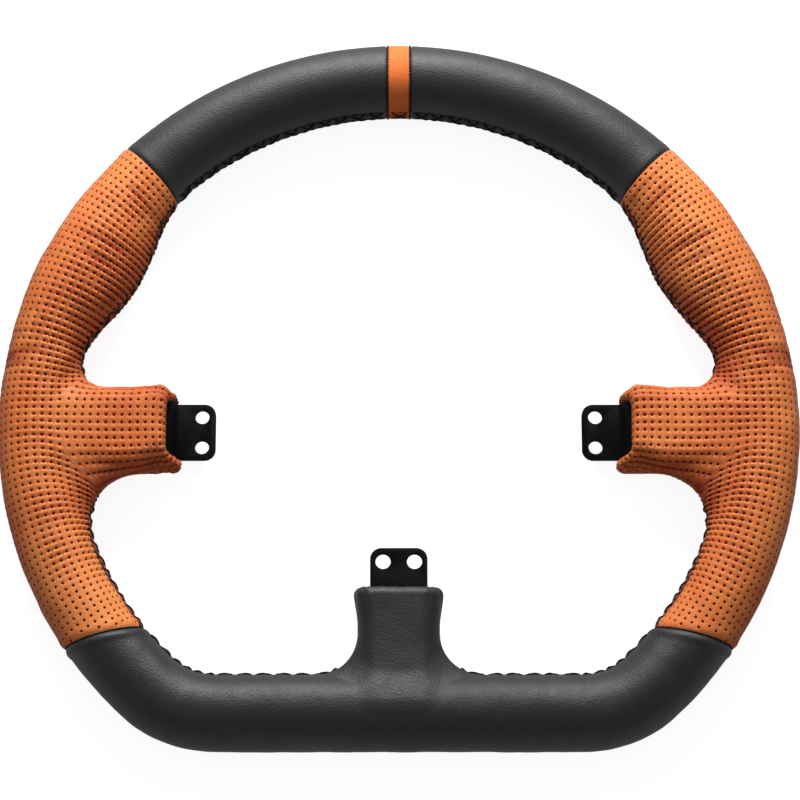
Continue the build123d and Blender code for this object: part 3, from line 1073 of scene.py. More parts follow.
    def pierce(self) -> None:
        """Sinks a small round hole into the middle of every whole cell."""
        pit_of = self.mesh.verts.layers.float["pit"]
        cell_of = self.mesh.faces.layers.int["cell"]
        middles = self.whole_cells()
        keep = {v.link_faces[0][cell_of]: (v.co.copy(), v.normal.copy()) for v in middles}
        bmesh.ops.dissolve_verts(self.mesh, verts=middles)
        cells = [f for f in self.mesh.faces if len(f.verts) == 8 and f[cell_of] in keep]
        # The rings towards the bottom take the hole colour: the foam behind a real hole, and painted shade
        # for its depth.
        for radius, depth, pit, follow in (
            (self.hole_radius * 1.75, 0.0, 0.0, 1.0),
            (self.hole_radius * 1.08, 0.07, 0.25, 0.35),
            (self.hole_radius * 0.92, self.hole_depth, 1.0, 0.0),
        ):
            bmesh.ops.inset_individual(self.mesh, faces=cells, thickness=0.02)
            for face in cells:
                middle, normal = keep[face[cell_of]]
                for vert in face.verts:
                    away = vert.co - middle
                    height = away.dot(normal)
                    away -= normal * height
                    inner = 1 - min(radius / away.length, 1.0)
                    height *= follow * math.sqrt(1 - inner * inner)
                    vert.co = middle + away.normalized() * radius + normal * (height - depth)
                    vert[pit_of] = pit
        log.info("%s: %d holes", self.name, len(cells))

    def face_out(self) -> None:
        """Makes the faces agree and point out of the rim."""
        bmesh.ops.recalc_face_normals(self.mesh, faces=self.mesh.faces)
        middles = np.array([f.calc_center_median() for f in self.mesh.faces])
        normals = np.array([f.normal for f in self.mesh.faces])
        _, slope = slopes(self.distance, middles)
        if (normals * slope).sum() < 0:
            bmesh.ops.reverse_faces(self.mesh, faces=self.mesh.faces)

    def build(self) -> bpy.types.Mesh:
        """Builds the panel.

        Returns:
            Its mesh, in metres, with a UV map in which both ways count in decimetres of leather.
        """
        self.build_grid()
        if self.sleeve:
            self.build_sleeve()
        self.settle(list(self.mesh.verts))
        if self.sleeve:
            self.relax_root()
        self.face_out()
        self.mark_cells()
        for _ in range(self.rounds):
            self.divide()
        self.trim()
        self.shape_relief()
        self.mesh.normal_update()
        if self.pierced:
            self.pierce()
        row_of, col_of = (self.mesh.verts.layers.float[n] for n in ("row", "col"))
        spacing = float(self.runs[1] - self.runs[0])
        skin_map = self.mesh.loops.layers.uv.new("skin")
        for face in self.mesh.faces:
            for loop in face.loops:
                loop[skin_map].uv = (loop.vert[row_of] * spacing / DECIMETRE, loop.vert[col_of] / DECIMETRE)
        bmesh.ops.scale(self.mesh, vec=(MM, MM, MM), verts=self.mesh.verts)
        return finished(self.mesh, self.name)


# ---------------------------------------------------------------- thread


@dataclass(frozen=True)
class Lacing:
    """Cross stitches that draw two rolled leather edges together along a line on the skin.

    Attributes:
        node: CAD node that the thread stands for.
        distance: Distance to the skin.
        locate: Gives the point at a length along the line and a distance aside.
        width: Half the width of the crosses.
        lift: How far the thread stands up over the slit.
        lip: Radius of the rolled edges.
        steps: Points to a stitch.
    """

    name: str
    node: str
    distance: Callable[[np.ndarray], np.ndarray]
    locate: Callable[[float, float], np.ndarray]
    first: float
    last: float
    pitch: float
    seed: int = 1
    width: float = 2.1
    thread: float = 0.36
    lift: float = 1.0
    lip: float = 0.85
    lip_end: float = 0.3
    lip_shade: float = 0.8
    steps: int = 8

    def on_skin(self, runs: np.ndarray, aside: np.ndarray, height: np.ndarray) -> np.ndarray:
        """Places points over the skin.

        Args:
            runs: Lengths along the line.
            aside: Distances to the side of the line.
            height: Heights over the skin.

        Returns:
            The points.
        """
        points = np.array([self.locate(float(r), float(a)) for r, a in zip(runs, aside)])
        for _ in range(4):
            gap, slope = slopes(self.distance, points)
            points -= unit(slope) * gap[:, None]
        _, slope = slopes(self.distance, points)
        return points + unit(slope) * height[:, None]

    def stitches(self) -> tuple[int, np.ndarray]:
        """Counts the stitches and gives places along them.

        Returns:
            How many stitches there are, and places, of which each stitch spans one.
        """
        count = max(1, round(abs(self.last - self.first) / self.pitch))
        return count, np.linspace(0, count, count * self.steps + 1)

    def thread_mesh(self) -> bpy.types.Mesh:
        """Makes the two threads that cross between the edges, and the row of stitches along each edge.

        Returns:
            Their mesh, in metres.
        """
        count, t = self.stitches()
        wander = 0.14 * np.array([noise.noise(Vector((x * 0.9, 0.5, self.seed))) for x in t])
        runs = self.first + (self.last - self.first) * (t + wander) / count
        lines = []
        for sign, over in ((1, 0.0), (-1, 0.3)):
            swing = sign * (1 - 2 * np.abs((t % 2) - 1))
            height = -0.5 + self.lift * (1 - np.abs(swing) ** 3) + over * (1 - np.abs(swing))
            points = self.on_skin(runs, self.width * swing + wander, height)
            lines.append([(p, self.thread) for p in points])
        for sign in (1, -1):
            beads = self.thread * (0.55 + 0.3 * np.abs(np.sin(np.pi * t * 1.5)))
            points = self.on_skin(runs, sign * self.width * 0.96 + 0.8 * wander, -0.12 + 0 * t)
            lines.append(list(zip(points, beads)))
        return tube_mesh(self.name, lines)

    def lip_mesh(self) -> bpy.types.Mesh:
        """Makes the two rolled edges, which bulge a little between the stitches.

        Returns:
            Their mesh, in metres, shaded as the folds are.
        """
        count, t = self.stitches()
        runs = self.first + (self.last - self.first) * t / count
        lines = []
        for sign in (1, -1):
            bulge = np.sin(np.pi * (t + 0.12 * sign)) ** 2
            uneven = np.array([noise.noise(Vector((x * 1.3, sign * 3.0, self.seed + 4))) for x in t])
            radius = self.lip * (0.86 + 0.1 * bulge + 0.2 * uneven)
            height = 0.3 - radius + 0.1 * bulge + 0.15 * uneven
            points = self.on_skin(runs, sign * self.lip * 1.1 + 0 * t, height)
            radius[0] = radius[-1] = self.lip_end
            lines.append(list(zip(points, radius)))
        mesh = tube_mesh(f"{self.name}_lips", lines)
        # The rolled edges carry painted shade in the folds' colour.
        deep = mesh.attributes.new("deep", "FLOAT", "POINT")
        deep.data.foreach_set("value", [self.lip_shade] * len(mesh.vertices))
        return mesh


def rim_line(drift: Callable[[float], float]) -> Callable[[float, float], np.ndarray]:
    """Makes the line along the inside of the rim that the panels' edges follow.

    Args:
        drift: How far the line leaves the middle for the back at a run.

    Returns:
        A function that gives the point at a run and a distance towards the front.
    """

    def locate(run: float, aside: float) -> np.ndarray:
        """Finds the point at a run, aside towards the front."""
        _, _, angle = RIM.station(run)
        return RIM.skin_point(run, RIM.half_round(angle) + drift(run) - aside)

    return locate


def eased_line(
    near: float, far: float, steady: float, swing: float, middle: float = 0.0,
) -> Callable[[float, float], np.ndarray]:
    """Makes a line inside the rim that swings over to the back of a sleeve.

    Args:
        near: Run, or distance from the middle, at which the swing begins.
        far: Run, or distance from the middle, at which it ends.
        steady: How far the line leaves the middle for the back before the swing.
        swing: How much further it leaves it after the swing.
        middle: Run that distances are measured from.

    Returns:
        A function that gives the point at a run and a distance towards the front.
    """

    def drift(run: float) -> float:
        """Gives how far the line leaves the middle at a run."""
        place = np.array(abs(run - middle))
        return swing * float(smooth_step(near, far, place)) + steady

    return rim_line(drift)


def sleeve_line(sleeve: Sleeve) -> Callable[[float, float], np.ndarray]:
    """Makes the line along the back of a sleeve.

    Args:
        sleeve: The sleeve.

    Returns:
        A function that gives the point at a length out from the hub and a distance aside.
    """

    def locate(out: float, aside: float) -> np.ndarray:
        """Finds the point at a length out from the hub."""
        return sleeve.place(out, aside, -sleeve.half_height)

    return locate


@dataclass
class SeamThread:
    """A corded thread that lies in the groove of a cross seam, right round the rim."""

    name: str
    seam: SeamPlane
    run: float
    radius: float
    sink: float
    bead: float = 1.3
    steps: int = 6

    def mesh(self) -> bpy.types.Mesh:
        """Makes the thread as a closed ring of small beads.

        Returns:
            Its mesh, in metres.
        """
        _, _, angle = RIM.station(self.run)
        girth = 2 * RIM.half_round(angle)
        count = round(girth / self.bead) * self.steps
        line = []
        for n in range(count):
            across = girth * n / count - girth / 2
            run = self.run
            for _ in range(5):
                point = RIM.skin_point(run, across)
                run -= float(self.seam.ahead(point[None])[0])
            gap, slope = slopes(RIM.distance, point[None])
            point = point - slope[0] * (gap[0] + self.sink)
            line.append((point, self.radius * (0.4 + 0.68 * abs(math.sin(math.pi * n / self.steps)))))
        return tube_mesh(self.name, [line], closed=True)


# ---------------------------------------------------------------- finishes


class Tree:
    """Adds nodes to a node tree and links them."""

    def __init__(self, tree: bpy.types.NodeTree) -> None:
        """Keeps the tree to add to."""
        self.tree = tree

    def add(self, kind: str, inputs: dict | None = None, **settings: object) -> bpy.types.Node:
        """Adds a node.

        Args:
            kind: The node's type.
            inputs: Values or sockets for its inputs, by name or place.
            settings: Values for its other settings.

        Returns:
            The node.
        """
        node = self.tree.nodes.new(kind)
        for key, value in settings.items():
            setattr(node, key, value)
        self.feed(node, inputs or {})
        return node

    def feed(self, node: bpy.types.Node, inputs: dict) -> None:
        """Sets or links a node's inputs.

        Args:
            node: The node.
            inputs: Values or sockets for its inputs, by name or place.
        """
        for key, value in inputs.items():
            if isinstance(value, bpy.types.NodeSocket):
                self.tree.links.new(value, node.inputs[key])
            else:
                node.inputs[key].default_value = value

    def group(self, effect: bpy.types.NodeTree, **inputs: object) -> bpy.types.Node:
        """Places a node group with its own values."""
        return self.add("ShaderNodeGroup", inputs, node_tree=effect)

    def noise(self, place: object, scale: object, **inputs: float) -> bpy.types.NodeSocket:
        """Adds a noise texture and gives its result."""
        node = self.add("ShaderNodeTexNoise", {"Vector": place, "Scale": scale, **inputs})
        return node.outputs[0]

    def math(self, operation: str, *values: object) -> bpy.types.NodeSocket:
        """Adds a Math node and gives its result."""
        node = self.add("ShaderNodeMath", dict(enumerate(values)), operation=operation)
        return node.outputs[0]

    def mix(self, share: object, first: object, second: object) -> bpy.types.NodeSocket:
        """Adds a colour mix and gives its result."""
        node = self.add("ShaderNodeMix", {0: share, 6: first, 7: second}, data_type="RGBA")
        return node.outputs[2]

    def span(self, value: object, *ends: float) -> bpy.types.NodeSocket:
        """Maps a value from the span of the first two ends to that of the last two and gives the result."""
        node = self.add("ShaderNodeMapRange", dict(enumerate((value, *ends))))
        return node.outputs[0]

    def bump(self, height: object, strength: float, distance: float) -> bpy.types.NodeSocket:
        """Adds a Bump node and gives its normal."""
        node = self.add("ShaderNodeBump", {"Height": height, "Strength": strength, "Distance": distance})
        return node.outputs[0]


Shade = tuple[float, float, float]


def colour(red: float, green: float, blue: float) -> tuple[float, float, float, float]:
    """Gives a display colour, 0 to 255 a channel, as a linear one for a socket."""
    linear = [c / 255 / 12.92 if c < 10.3 else ((c / 255 + 0.055) / 1.055) ** 2.4 for c in (red, green, blue)]
    return (*linear, 1.0)


def new_group(
    name: str, inputs: Sequence[tuple[str, str]], outputs: Sequence[tuple[str, str]],
) -> tuple[Tree, bpy.types.Node, bpy.types.Node]:
    """Starts a shader node group.

    Args:
        name: Name of the group.
        inputs: Names and socket types of its inputs.
        outputs: Names and socket types of its outputs.

    Returns:
        The tree, its input node and its output node.
    """
    group = bpy.data.node_groups.new(name, "ShaderNodeTree")
    for way, sockets in (("INPUT", inputs), ("OUTPUT", outputs)):
        for label, kind in sockets:
            group.interface.new_socket(name=label, in_out=way, socket_type=kind)
    tree = Tree(group)
    return tree, tree.add("NodeGroupInput"), tree.add("NodeGroupOutput")


class Effects:
    """The node groups that several finishes share, each built once."""

    def __init__(self) -> None:
        """Builds the groups."""
        self.grain = self.build_grain()
        self.mottle = self.build_mottle()
        self.scuffs = self.build_scuffs()

    def build_grain(self) -> bpy.types.NodeTree:
        """Builds leather grain: rounded pebbles with creases between them and fine pores.

        Returns:
            The group.
        """
        tree, given, out = new_group(
            "leather_grain",
            [("Pebbles", "NodeSocketFloat"), ("Warp", "NodeSocketFloat")],
            [("Height", "NodeSocketFloat"), ("Crease", "NodeSocketFloat")],
        )
        place = tree.add("ShaderNodeTexCoord").outputs["Object"]
        bend = tree.add("ShaderNodeTexNoise", {"Vector": place, "Scale": 420.0, "Detail": 2.0})
        shift = tree.add(
            "ShaderNodeVectorMath", {0: bend.outputs["Color"], 3: given.outputs["Warp"]}, operation="SCALE",
        )
        moved = tree.add("ShaderNodeVectorMath", {0: place, 1: shift.outputs[0]}, operation="ADD").outputs[0]
        cells = tree.add(
            "ShaderNodeTexVoronoi", {"Vector": moved, "Scale": given.outputs["Pebbles"], "Smoothness": 0.6},
            feature="SMOOTH_F1",
        )
        pebble = tree.span(cells.outputs["Distance"], 0.1, 0.75, 1.0, 0.0)
        pores = tree.math("MULTIPLY", tree.noise(place, 3600.0, Detail=3.0, Roughness=0.6), 0.35)
        height, crease = tree.math("ADD", pebble, pores), tree.math("SUBTRACT", 1.0, pebble)
        tree.feed(out, {"Height": height, "Crease": crease})
        return tree.tree

    def build_mottle(self) -> bpy.types.NodeTree:
        """Builds two shades of a colour in soft patches of two sizes.

        Returns:
            The group.
        """
        tree, given, out = new_group(
            "mottle",
            [("Light", "NodeSocketColor"), ("Dark", "NodeSocketColor"), ("Patches", "NodeSocketFloat")],
            [("Color", "NodeSocketColor"), ("Mask", "NodeSocketFloat")],
        )
        place = tree.add("ShaderNodeTexCoord").outputs["Object"]
        broad = tree.noise(place, given.outputs["Patches"], Detail=3.0)
        small = tree.math("MULTIPLY", given.outputs["Patches"], 9.0)
        fine = tree.noise(place, small, Detail=4.0, Roughness=0.7)
        both = tree.math("ADD", tree.math("MULTIPLY", broad, 0.6), tree.math("MULTIPLY", fine, 0.4))
        mask = tree.span(both, 0.38, 0.62, 0.0, 1.0)
        tree.feed(out, {"Color": tree.mix(mask, given.outputs["Light"], given.outputs["Dark"]), "Mask": mask})
        return tree.tree

    def build_scuffs(self) -> bpy.types.NodeTree:
        """Builds fine rubbed streaks that run in two directions.

        Returns:
            The group.
        """
        tree, given, out = new_group("scuffs", [("Scale", "NodeSocketFloat")], [("Mask", "NodeSocketFloat")])
        place = tree.add("ShaderNodeTexCoord").outputs["Object"]
        streaks = []
        for turn, squeeze in ((0.4, 14.0), (1.9, 9.0)):
            values = {"Vector": place, "Rotation": (0.0, 0.0, turn), "Scale": (1.0, squeeze, 1.0)}
            turned = tree.add("ShaderNodeMapping", values).outputs[0]
            streak = tree.noise(turned, given.outputs["Scale"], Detail=4.0)
            streaks.append(tree.span(streak, 0.58, 0.72, 0.0, 1.0))
        tree.feed(out, {"Mask": tree.math("MAXIMUM", *streaks)})
        return tree.tree


def new_material(name: str) -> tuple[bpy.types.Material, Tree, bpy.types.Node]:
    """Starts a material.

    Args:
        name: Name of the material.

    Returns:
        The material, its tree and its surface shader.
    """
    material = bpy.data.materials.new(name)
    material.use_nodes = True
    return material, Tree(material.node_tree), material.node_tree.nodes["Principled BSDF"]


@dataclass(frozen=True)
class Leather:
    """Sewn leather with grain, shaded folds and, where it is pierced, dark holes.

    Attributes:
        fold: Painted shade colour, laid on by the deep attribute in gathers, folds, seam grooves, the rolled
            lacing edges and the sides that face away from the light.
        pit: Colour inside the holes: partly the dark foam that a real hole shows, partly painted shade that
            stands in for the hole's depth.
        pebbles: Scale of the grain.
        grain: Strength of the relief.
        crease: Share that drawn lines along the skin have in the relief.
        warp: How far the pebbles are bent out of shape, in metres.
    """

    name: str
    light: Shade
    dark: Shade
    fold: Shade
    pit: Shade
    roughness: float
    pebbles: float
    grain: float
    specular: float
    crease: float
    patches: float = 26.0
    warp: float = 0.0006
    relief: float = 0.00012

    def material(self, effects: Effects) -> bpy.types.Material:
        """Builds the material.

        Args:
            effects: The shared node groups.

        Returns:
            The material.
        """
        material, tree, shader = new_material(self.name)
        light, dark = colour(*self.light), colour(*self.dark)
        mottle = tree.group(effects.mottle, Light=light, Dark=dark, Patches=self.patches)
        grain = tree.group(effects.grain, Pebbles=self.pebbles, Warp=self.warp)
        crease = grain.outputs["Crease"]
        deep = tree.add("ShaderNodeAttribute", attribute_name="deep").outputs["Fac"]
        # The pit attribute brings in the hole colour, which is partly painted shade.
        pit = tree.add("ShaderNodeAttribute", attribute_name="pit").outputs["Fac"]
        # Grain creases lean a little towards the dark tone.
        darkened = tree.mix(tree.math("MULTIPLY", crease, 0.3), mottle.outputs["Color"], dark)
        # Painted shade: the deep attribute mixes the fold colour in.
        folded = tree.mix(deep, darkened, colour(*self.fold))
        dull = tree.span(mottle.outputs["Mask"], 0.0, 1.0, self.roughness - 0.04, self.roughness + 0.05)
        skin = tree.add("ShaderNodeUVMap", uv_map="skin").outputs[0]
        drawn = tree.add("ShaderNodeMapping", {"Vector": skin, "Scale": (100.0, 22.0, 1.0)}).outputs[0]
        lines = tree.math("MULTIPLY", tree.noise(drawn, 0.8, Detail=4.0, Roughness=0.6), self.crease)
        tree.feed(shader, {
            "Base Color": tree.mix(pit, folded, colour(*self.pit)),
            "Roughness": tree.math("ADD", dull, tree.math("MULTIPLY", crease, 0.08)),
            "Normal": tree.bump(tree.math("ADD", grain.outputs["Height"], lines), self.grain, self.relief),
            "Specular IOR Level": self.specular,
        })
        return material


@dataclass(frozen=True)
class Thread:
    """Waxed sewing thread with a fine twist."""

    name: str
    light: Shade
    dark: Shade
    roughness: float = 0.6
    specular: float = 0.25
    patches: float = 300.0
    twists: float = 900.0
    relief: float = 0.0001

    def material(self, effects: Effects) -> bpy.types.Material:
        """Builds the material.

        Args:
            effects: The shared node groups.

        Returns:
            The material.
        """
        material, tree, shader = new_material(self.name)
        light, dark = colour(*self.light), colour(*self.dark)
        mottle = tree.group(effects.mottle, Light=light, Dark=dark, Patches=self.patches)
        place = tree.add("ShaderNodeTexCoord").outputs["Object"]
        twist = tree.add(
            "ShaderNodeTexWave", {"Vector": place, "Scale": self.twists, "Distortion": 3.0, "Detail": 2.0},
            bands_direction="DIAGONAL",
        ).outputs["Fac"]
        tree.feed(shader, {
            "Base Color": mottle.outputs["Color"],
            "Roughness": tree.span(twist, 0, 1, self.roughness + 0.1, self.roughness - 0.1),
            "Normal": tree.bump(twist, 0.5, self.relief),
            "Specular IOR Level": self.specular,
        })
        return material


@dataclass(frozen=True)
class Coating:
    """Metal or foam with a fine, slightly uneven surface and rubbed streaks.

    Attributes:
        rubbed: Colour of the streaks.
        texture: Scale of the unevenness.
        rub: How strong the streaks are.
    """

    name: str
    light: Shade
    dark: Shade
    rubbed: Shade
    roughness: float
    metallic: float
    texture: float
    bump: float
    rub: float = 0.25
    specular: float = 0.5
    patches: float = 60.0
    streaks: float = 160.0
    relief: float = 0.0001

    def material(self, effects: Effects) -> bpy.types.Material:
        """Builds the material.

        Args:
            effects: The shared node groups.

        Returns:
            The material.
        """
        material, tree, shader = new_material(self.name)
        light, dark = colour(*self.light), colour(*self.dark)
        mottle = tree.group(effects.mottle, Light=light, Dark=dark, Patches=self.patches)
        scuffs = tree.group(effects.scuffs, Scale=self.streaks)
        rub = tree.math("MULTIPLY", scuffs.outputs["Mask"], self.rub)
        place = tree.add("ShaderNodeTexCoord").outputs["Object"]
        tree.feed(shader, {
            "Base Color": tree.mix(rub, mottle.outputs["Color"], colour(*self.rubbed)),
            "Roughness": tree.span(rub, 0, 1, self.roughness, self.roughness + 0.25),
            "Normal": tree.bump(tree.noise(place, self.texture, Detail=2.0), self.bump, self.relief),
            "Metallic": self.metallic,
            "Specular IOR Level": self.specular,
        })
        return material


class Finishes:
    """Every finish on the wheel, built once."""

    def __init__(self) -> None:
        """Builds the materials."""
        effects = Effects()
        # Each leather's fold colour is painted shade for its folds, seam grooves and shaded sides.
        self.perforated = Leather(
            "perforated_orange_leather", light=(240, 148, 82), dark=(214, 112, 58), fold=(138, 36, 22),
            pit=(92, 26, 16), roughness=0.5, pebbles=1400.0, grain=0.45, specular=0.18, crease=1.5,
        ).material(effects)
        self.stripe = Leather(
            "plain_orange_leather", light=(230, 124, 58), dark=(216, 106, 50), fold=(120, 36, 22),
            pit=(58, 18, 12), roughness=0.55, pebbles=1400.0, grain=0.5, specular=0.12, crease=0.5,
        ).material(effects)
        self.black = Leather(
            "black_leather", light=(16, 16, 18), dark=(12, 12, 13), fold=(9, 9, 10),
            pit=(10, 10, 10), roughness=0.5, pebbles=1500.0, grain=0.55, specular=0.6, crease=0.5,
        ).material(effects)
        self.thread = Thread("black_waxed_thread", light=(20, 18, 18), dark=(10, 9, 9)).material(effects)
        self.seam_cord = Thread("brown_black_cord", light=(38, 20, 14), dark=(16, 10, 9)).material(effects)
        self.steel = Coating(
            "black_coated_steel", light=(13, 13, 14), dark=(10, 10, 11), rubbed=(22, 22, 24),
            roughness=0.6, metallic=0.0, texture=2600.0, bump=0.35, specular=0.06,
        ).material(effects)
        self.bare = Coating(
            "bare_steel", light=(150, 150, 152), dark=(120, 120, 124), rubbed=(180, 180, 182),
            roughness=0.4, metallic=1.0, texture=900.0, bump=0.3,
        ).material(effects)
        self.foam = Coating(
            "moulded_foam", light=(46, 46, 46), dark=(36, 36, 36), rubbed=(60, 60, 60),
            roughness=0.85, metallic=0.0, texture=1200.0, bump=0.8,
        ).material(effects)


# ---------------------------------------------------------------- the wheel's sub-assemblies


def add_lips(mesh: bpy.types.Mesh, lacing: Lacing) -> None:
    """Joins the rolled edges along a lacing to the panel that they belong to.

    Args:
        mesh: The panel's mesh.
        lacing: The lacing.
    """
    lips = lacing.lip_mesh()
    joined = bmesh.new()
    joined.from_mesh(mesh)
    joined.from_mesh(lips)
    joined.to_mesh(mesh)
    joined.free()
    bpy.data.meshes.remove(lips)


def sew(mesh: bpy.types.Mesh, lacings: Sequence[Lacing], side: Side = Side.LEFT) -> list[bpy.types.Mesh]:
    """Joins the lips of lacings to a panel and makes their threads, all of them on the left until then.

    Args:
        mesh: The panel's mesh.
        lacings: Its lacings.
        side: The side on which panel and threads end up.

    Returns:
        The meshes of the threads.
    """
    threads = []
    for lacing in lacings:
        add_lips(mesh, lacing)
        threads.append(lacing.thread_mesh())
    if side is Side.RIGHT:
        for made in (mesh, *threads):
            mirror_mesh(made)
    return threads


def place_threads(
    lacings: Sequence[Lacing], threads: Sequence[bpy.types.Mesh], finishes: Finishes,
) -> list[bpy.types.Object]:
    """Places the threads of lacings as pieces.

    Args:
        lacings: The lacings.
        threads: The meshes of their threads.
        finishes: The wheel's finishes.

    Returns:
        The pieces.
    """
    return [
        place_piece(lacing.name, thread, finishes.thread, lacing.node)
        for lacing, thread in zip(lacings, threads)
    ]


def cad_copy(node: str) -> bmesh.types.BMesh:
    """Copies a CAD node's mesh and merges its loose triangles.

    Args:
        node: The CAD node.

    Returns:
        The merged copy.
    """
    mesh = bmesh.new()
    mesh.from_mesh(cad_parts[node].data)
    bmesh.ops.remove_doubles(mesh, verts=mesh.verts, dist=TINY)
    return mesh


def finished(mesh: bmesh.types.BMesh, name: str) -> bpy.types.Mesh:
    """Writes a finished bmesh to a new mesh and frees it.

    Args:
        mesh: The bmesh.
        name: Name of the new mesh.

    Returns:
        The new mesh.
    """
    made = bpy.data.meshes.new(name)
    mesh.to_mesh(made)
    mesh.free()
    return made


@dataclass
class Plates:
    """The three coated spoke plates, with softened edges, and the bare steel inside the rim."""

    edge: float = 0.35
    flat: float = 1.0
    sharp: float = 35.0
    coated: tuple[str, ...] = ("left_spoke", "right_spoke", "bottom_spoke")
    bare: tuple[str, ...] = ("rim_ring_tube", "spoke_weld_beads")

    def build(self, finishes: Finishes) -> None:
        """Builds the plates and dresses the hidden steel.

        Args:
            finishes: The wheel's finishes.
        """
        for label in self.coated:
            node = f"{label}_plate"
            mesh = cad_copy(node)
            bmesh.ops.dissolve_limit(
                mesh, angle_limit=math.radians(self.flat), verts=mesh.verts, edges=mesh.edges,
            )
            made = finished(mesh, f"{node}_coated")
            piece = place_piece(f"{label}_tab_plate", made, finishes.steel, node)
            bevel = piece.modifiers.new("softened_edges", "BEVEL")
            bevel.width = self.edge * MM
            bevel.segments = 2
            bevel.limit_method = "ANGLE"
            bevel.angle_limit = math.radians(self.sharp)
            bevel.harden_normals = True
        for node in self.bare:
            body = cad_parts[node]
            body.data.materials.clear()
            body.data.materials.append(finishes.bare)
            log.info("%s: dressed", node)


@dataclass
class Foam:
    """The foam that is moulded over the steel, kept a leather's thickness under the skins.

    Attributes:
        under: How far it lies under the leather's outer face.
        lower: Height below which the bottom sleeve counts, and not the side ones.
    """

    under: float = 1.7
    longest: float = 5.0
    divisions: int = 5
    presses: int = 3
    lower: float = -55.0

    def distance(self, points: np.ndarray) -> np.ndarray:
        """Measures how far points lie off the smooth face of all the skins together.

        Args:
            points: One point a row.

        Returns:
            Distances, less than zero inside.
        """
        left = np.stack([-np.abs(points[:, 0]), points[:, 1], points[:, 2]], axis=1)
        rim = RIM.distance(points)
        sides = round_min(rim, SIDE_SLEEVE.distance(left), SIDE_SLEEVE.fillet(left))
        low = round_min(rim, BOTTOM_SLEEVE.distance(points), BOTTOM_SLEEVE.fillet(points))
        return np.where(points[:, 1] < self.lower, low, sides)

    def build(self, finishes: Finishes) -> None:
        """Copies the foam's CAD mesh, divides it finely and presses it in under the skins.

        Args:
            finishes: The wheel's finishes.
        """
        mesh = cad_copy("foam_core")
        bmesh.ops.scale(mesh, vec=(1 / MM, 1 / MM, 1 / MM), verts=mesh.verts)
        for _ in range(self.divisions):
            long = [e for e in mesh.edges if e.calc_length() > self.longest]
            bmesh.ops.subdivide_edges(mesh, edges=long, cuts=1)
            bmesh.ops.triangulate(mesh, faces=[f for f in mesh.faces if len(f.verts) > 3])
        points = np.array([v.co for v in mesh.verts])
        for _ in range(self.presses):
            gap, slope = slopes(self.distance, points)
            steep = np.maximum((slope**2).sum(axis=1), 0.2)
            points -= slope * (np.maximum(gap + self.under, 0) / steep)[:, None]
        for vert, point in zip(mesh.verts, points):
            vert.co = point
        bmesh.ops.scale(mesh, vec=(MM, MM, MM), verts=mesh.verts)
        made = finished(mesh, "moulded_foam")
        piece = place_piece("moulded_foam_core", made, finishes.foam, "foam_core")


@dataclass
class PlainArc:
    """The plain panels at the top of the rim: two black ones with the orange stripe between them.

    Attributes:
        spare: How far the rows run on past a seam before they are trimmed.
        inset: How far from a seam that lacing stops.
        forward: How far the lacing lies in front of the middle.
        seeds: Seeds of each black panel and of its lacing.
    """

    row: float = 3.0
    spare: float = 1.0
    pitch: float = 7.5
    inset: float = 1.5
    stitch: float = 2.8
    thread: float = 0.45
    forward: float = 0.6
    stripe_pitch: float = 8.0
    stripe_inset: float = 0.5
    seeds: tuple[tuple[Side, int, int], ...] = ((Side.LEFT, 3, 11), (Side.RIGHT, 8, 17))

    def drift(self, _: float) -> float:
        """Gives how far the lacing leaves the middle for the back, the same at every run."""
        return -self.forward

    def panel(
        self, name: str, first: SeamPlane, last: SeamPlane, low: float, high: float, **extra: float,
    ) -> Skin:
        """Describes a panel between two cross seams.

        Args:
            name: Name of the piece.
            first: Seam where it begins.
            last: Seam where it ends.
            low: Run at which it begins.
            high: Run at which it ends.
            extra: Other values of the panel.

        Returns:
            The panel.
        """
        rows = max(4, round((high - low + 2 * self.spare) / self.row))
        runs = np.linspace(low - self.spare, high + self.spare, rows + 1)
        return Skin(name, runs, first, last, [(-EVERYWHERE, EVERYWHERE)], **extra)

    def build(self, finishes: Finishes) -> None:
        """Builds the panels with their lacing.

        Args:
            finishes: The wheel's finishes.
        """
        edge, upper = run_at(STRIPE_ANGLE), run_at(UPPER_ANGLE)
        for side, skin_seed, seed in self.seeds:
            name = f"top_{side.value}"
            skin = self.panel(
                f"{name}_skin", STRIPE_SEAM, UPPER_SEAM, edge, upper, seed=skin_seed, lumps=0.05,
                puff=0.06, tuck_depth=0.55, tuck_width=0.4,
            )
            lacing = Lacing(
                f"{name}_cross_lacing", f"{name}_lacing", RIM.distance, rim_line(self.drift),
                edge + self.inset, upper - self.inset, self.pitch, seed, width=self.stitch,
                thread=self.thread, lift=0.95,
            )
            mesh = skin.build()
            threads = sew(mesh, [lacing], side)
            piece = place_piece(skin.name, mesh, finishes.black, f"{name}_leather")
            sewn = place_threads([lacing], threads, finishes)
        self.build_stripe(finishes, edge)

    def build_stripe(self, finishes: Finishes, edge: float) -> None:
        """Builds the stripe at twelve o'clock with its single cross stitch.

        Args:
            finishes: The wheel's finishes.
            edge: Run from twelve o'clock to the stripe's edge.
        """
        skin = self.panel(
            "centre_stripe_skin", flipped(STRIPE_SEAM), STRIPE_SEAM, -edge, edge, seed=5, lumps=0.03,
            puff=0.05, tuck_depth=0.25, tuck_width=0.25,
        )
        lacing = Lacing(
            "stripe_cross_stitch_thread", "stripe_cross_stitch", RIM.distance, rim_line(self.drift),
            -edge + self.stripe_inset, edge - self.stripe_inset, self.stripe_pitch, width=self.stitch,
            lift=0.85,
        )
        mesh = skin.build()
        threads = sew(mesh, [lacing])
        piece = place_piece(skin.name, mesh, finishes.stripe, "centre_stripe_leather")
        sewn = place_threads([lacing], threads, finishes)


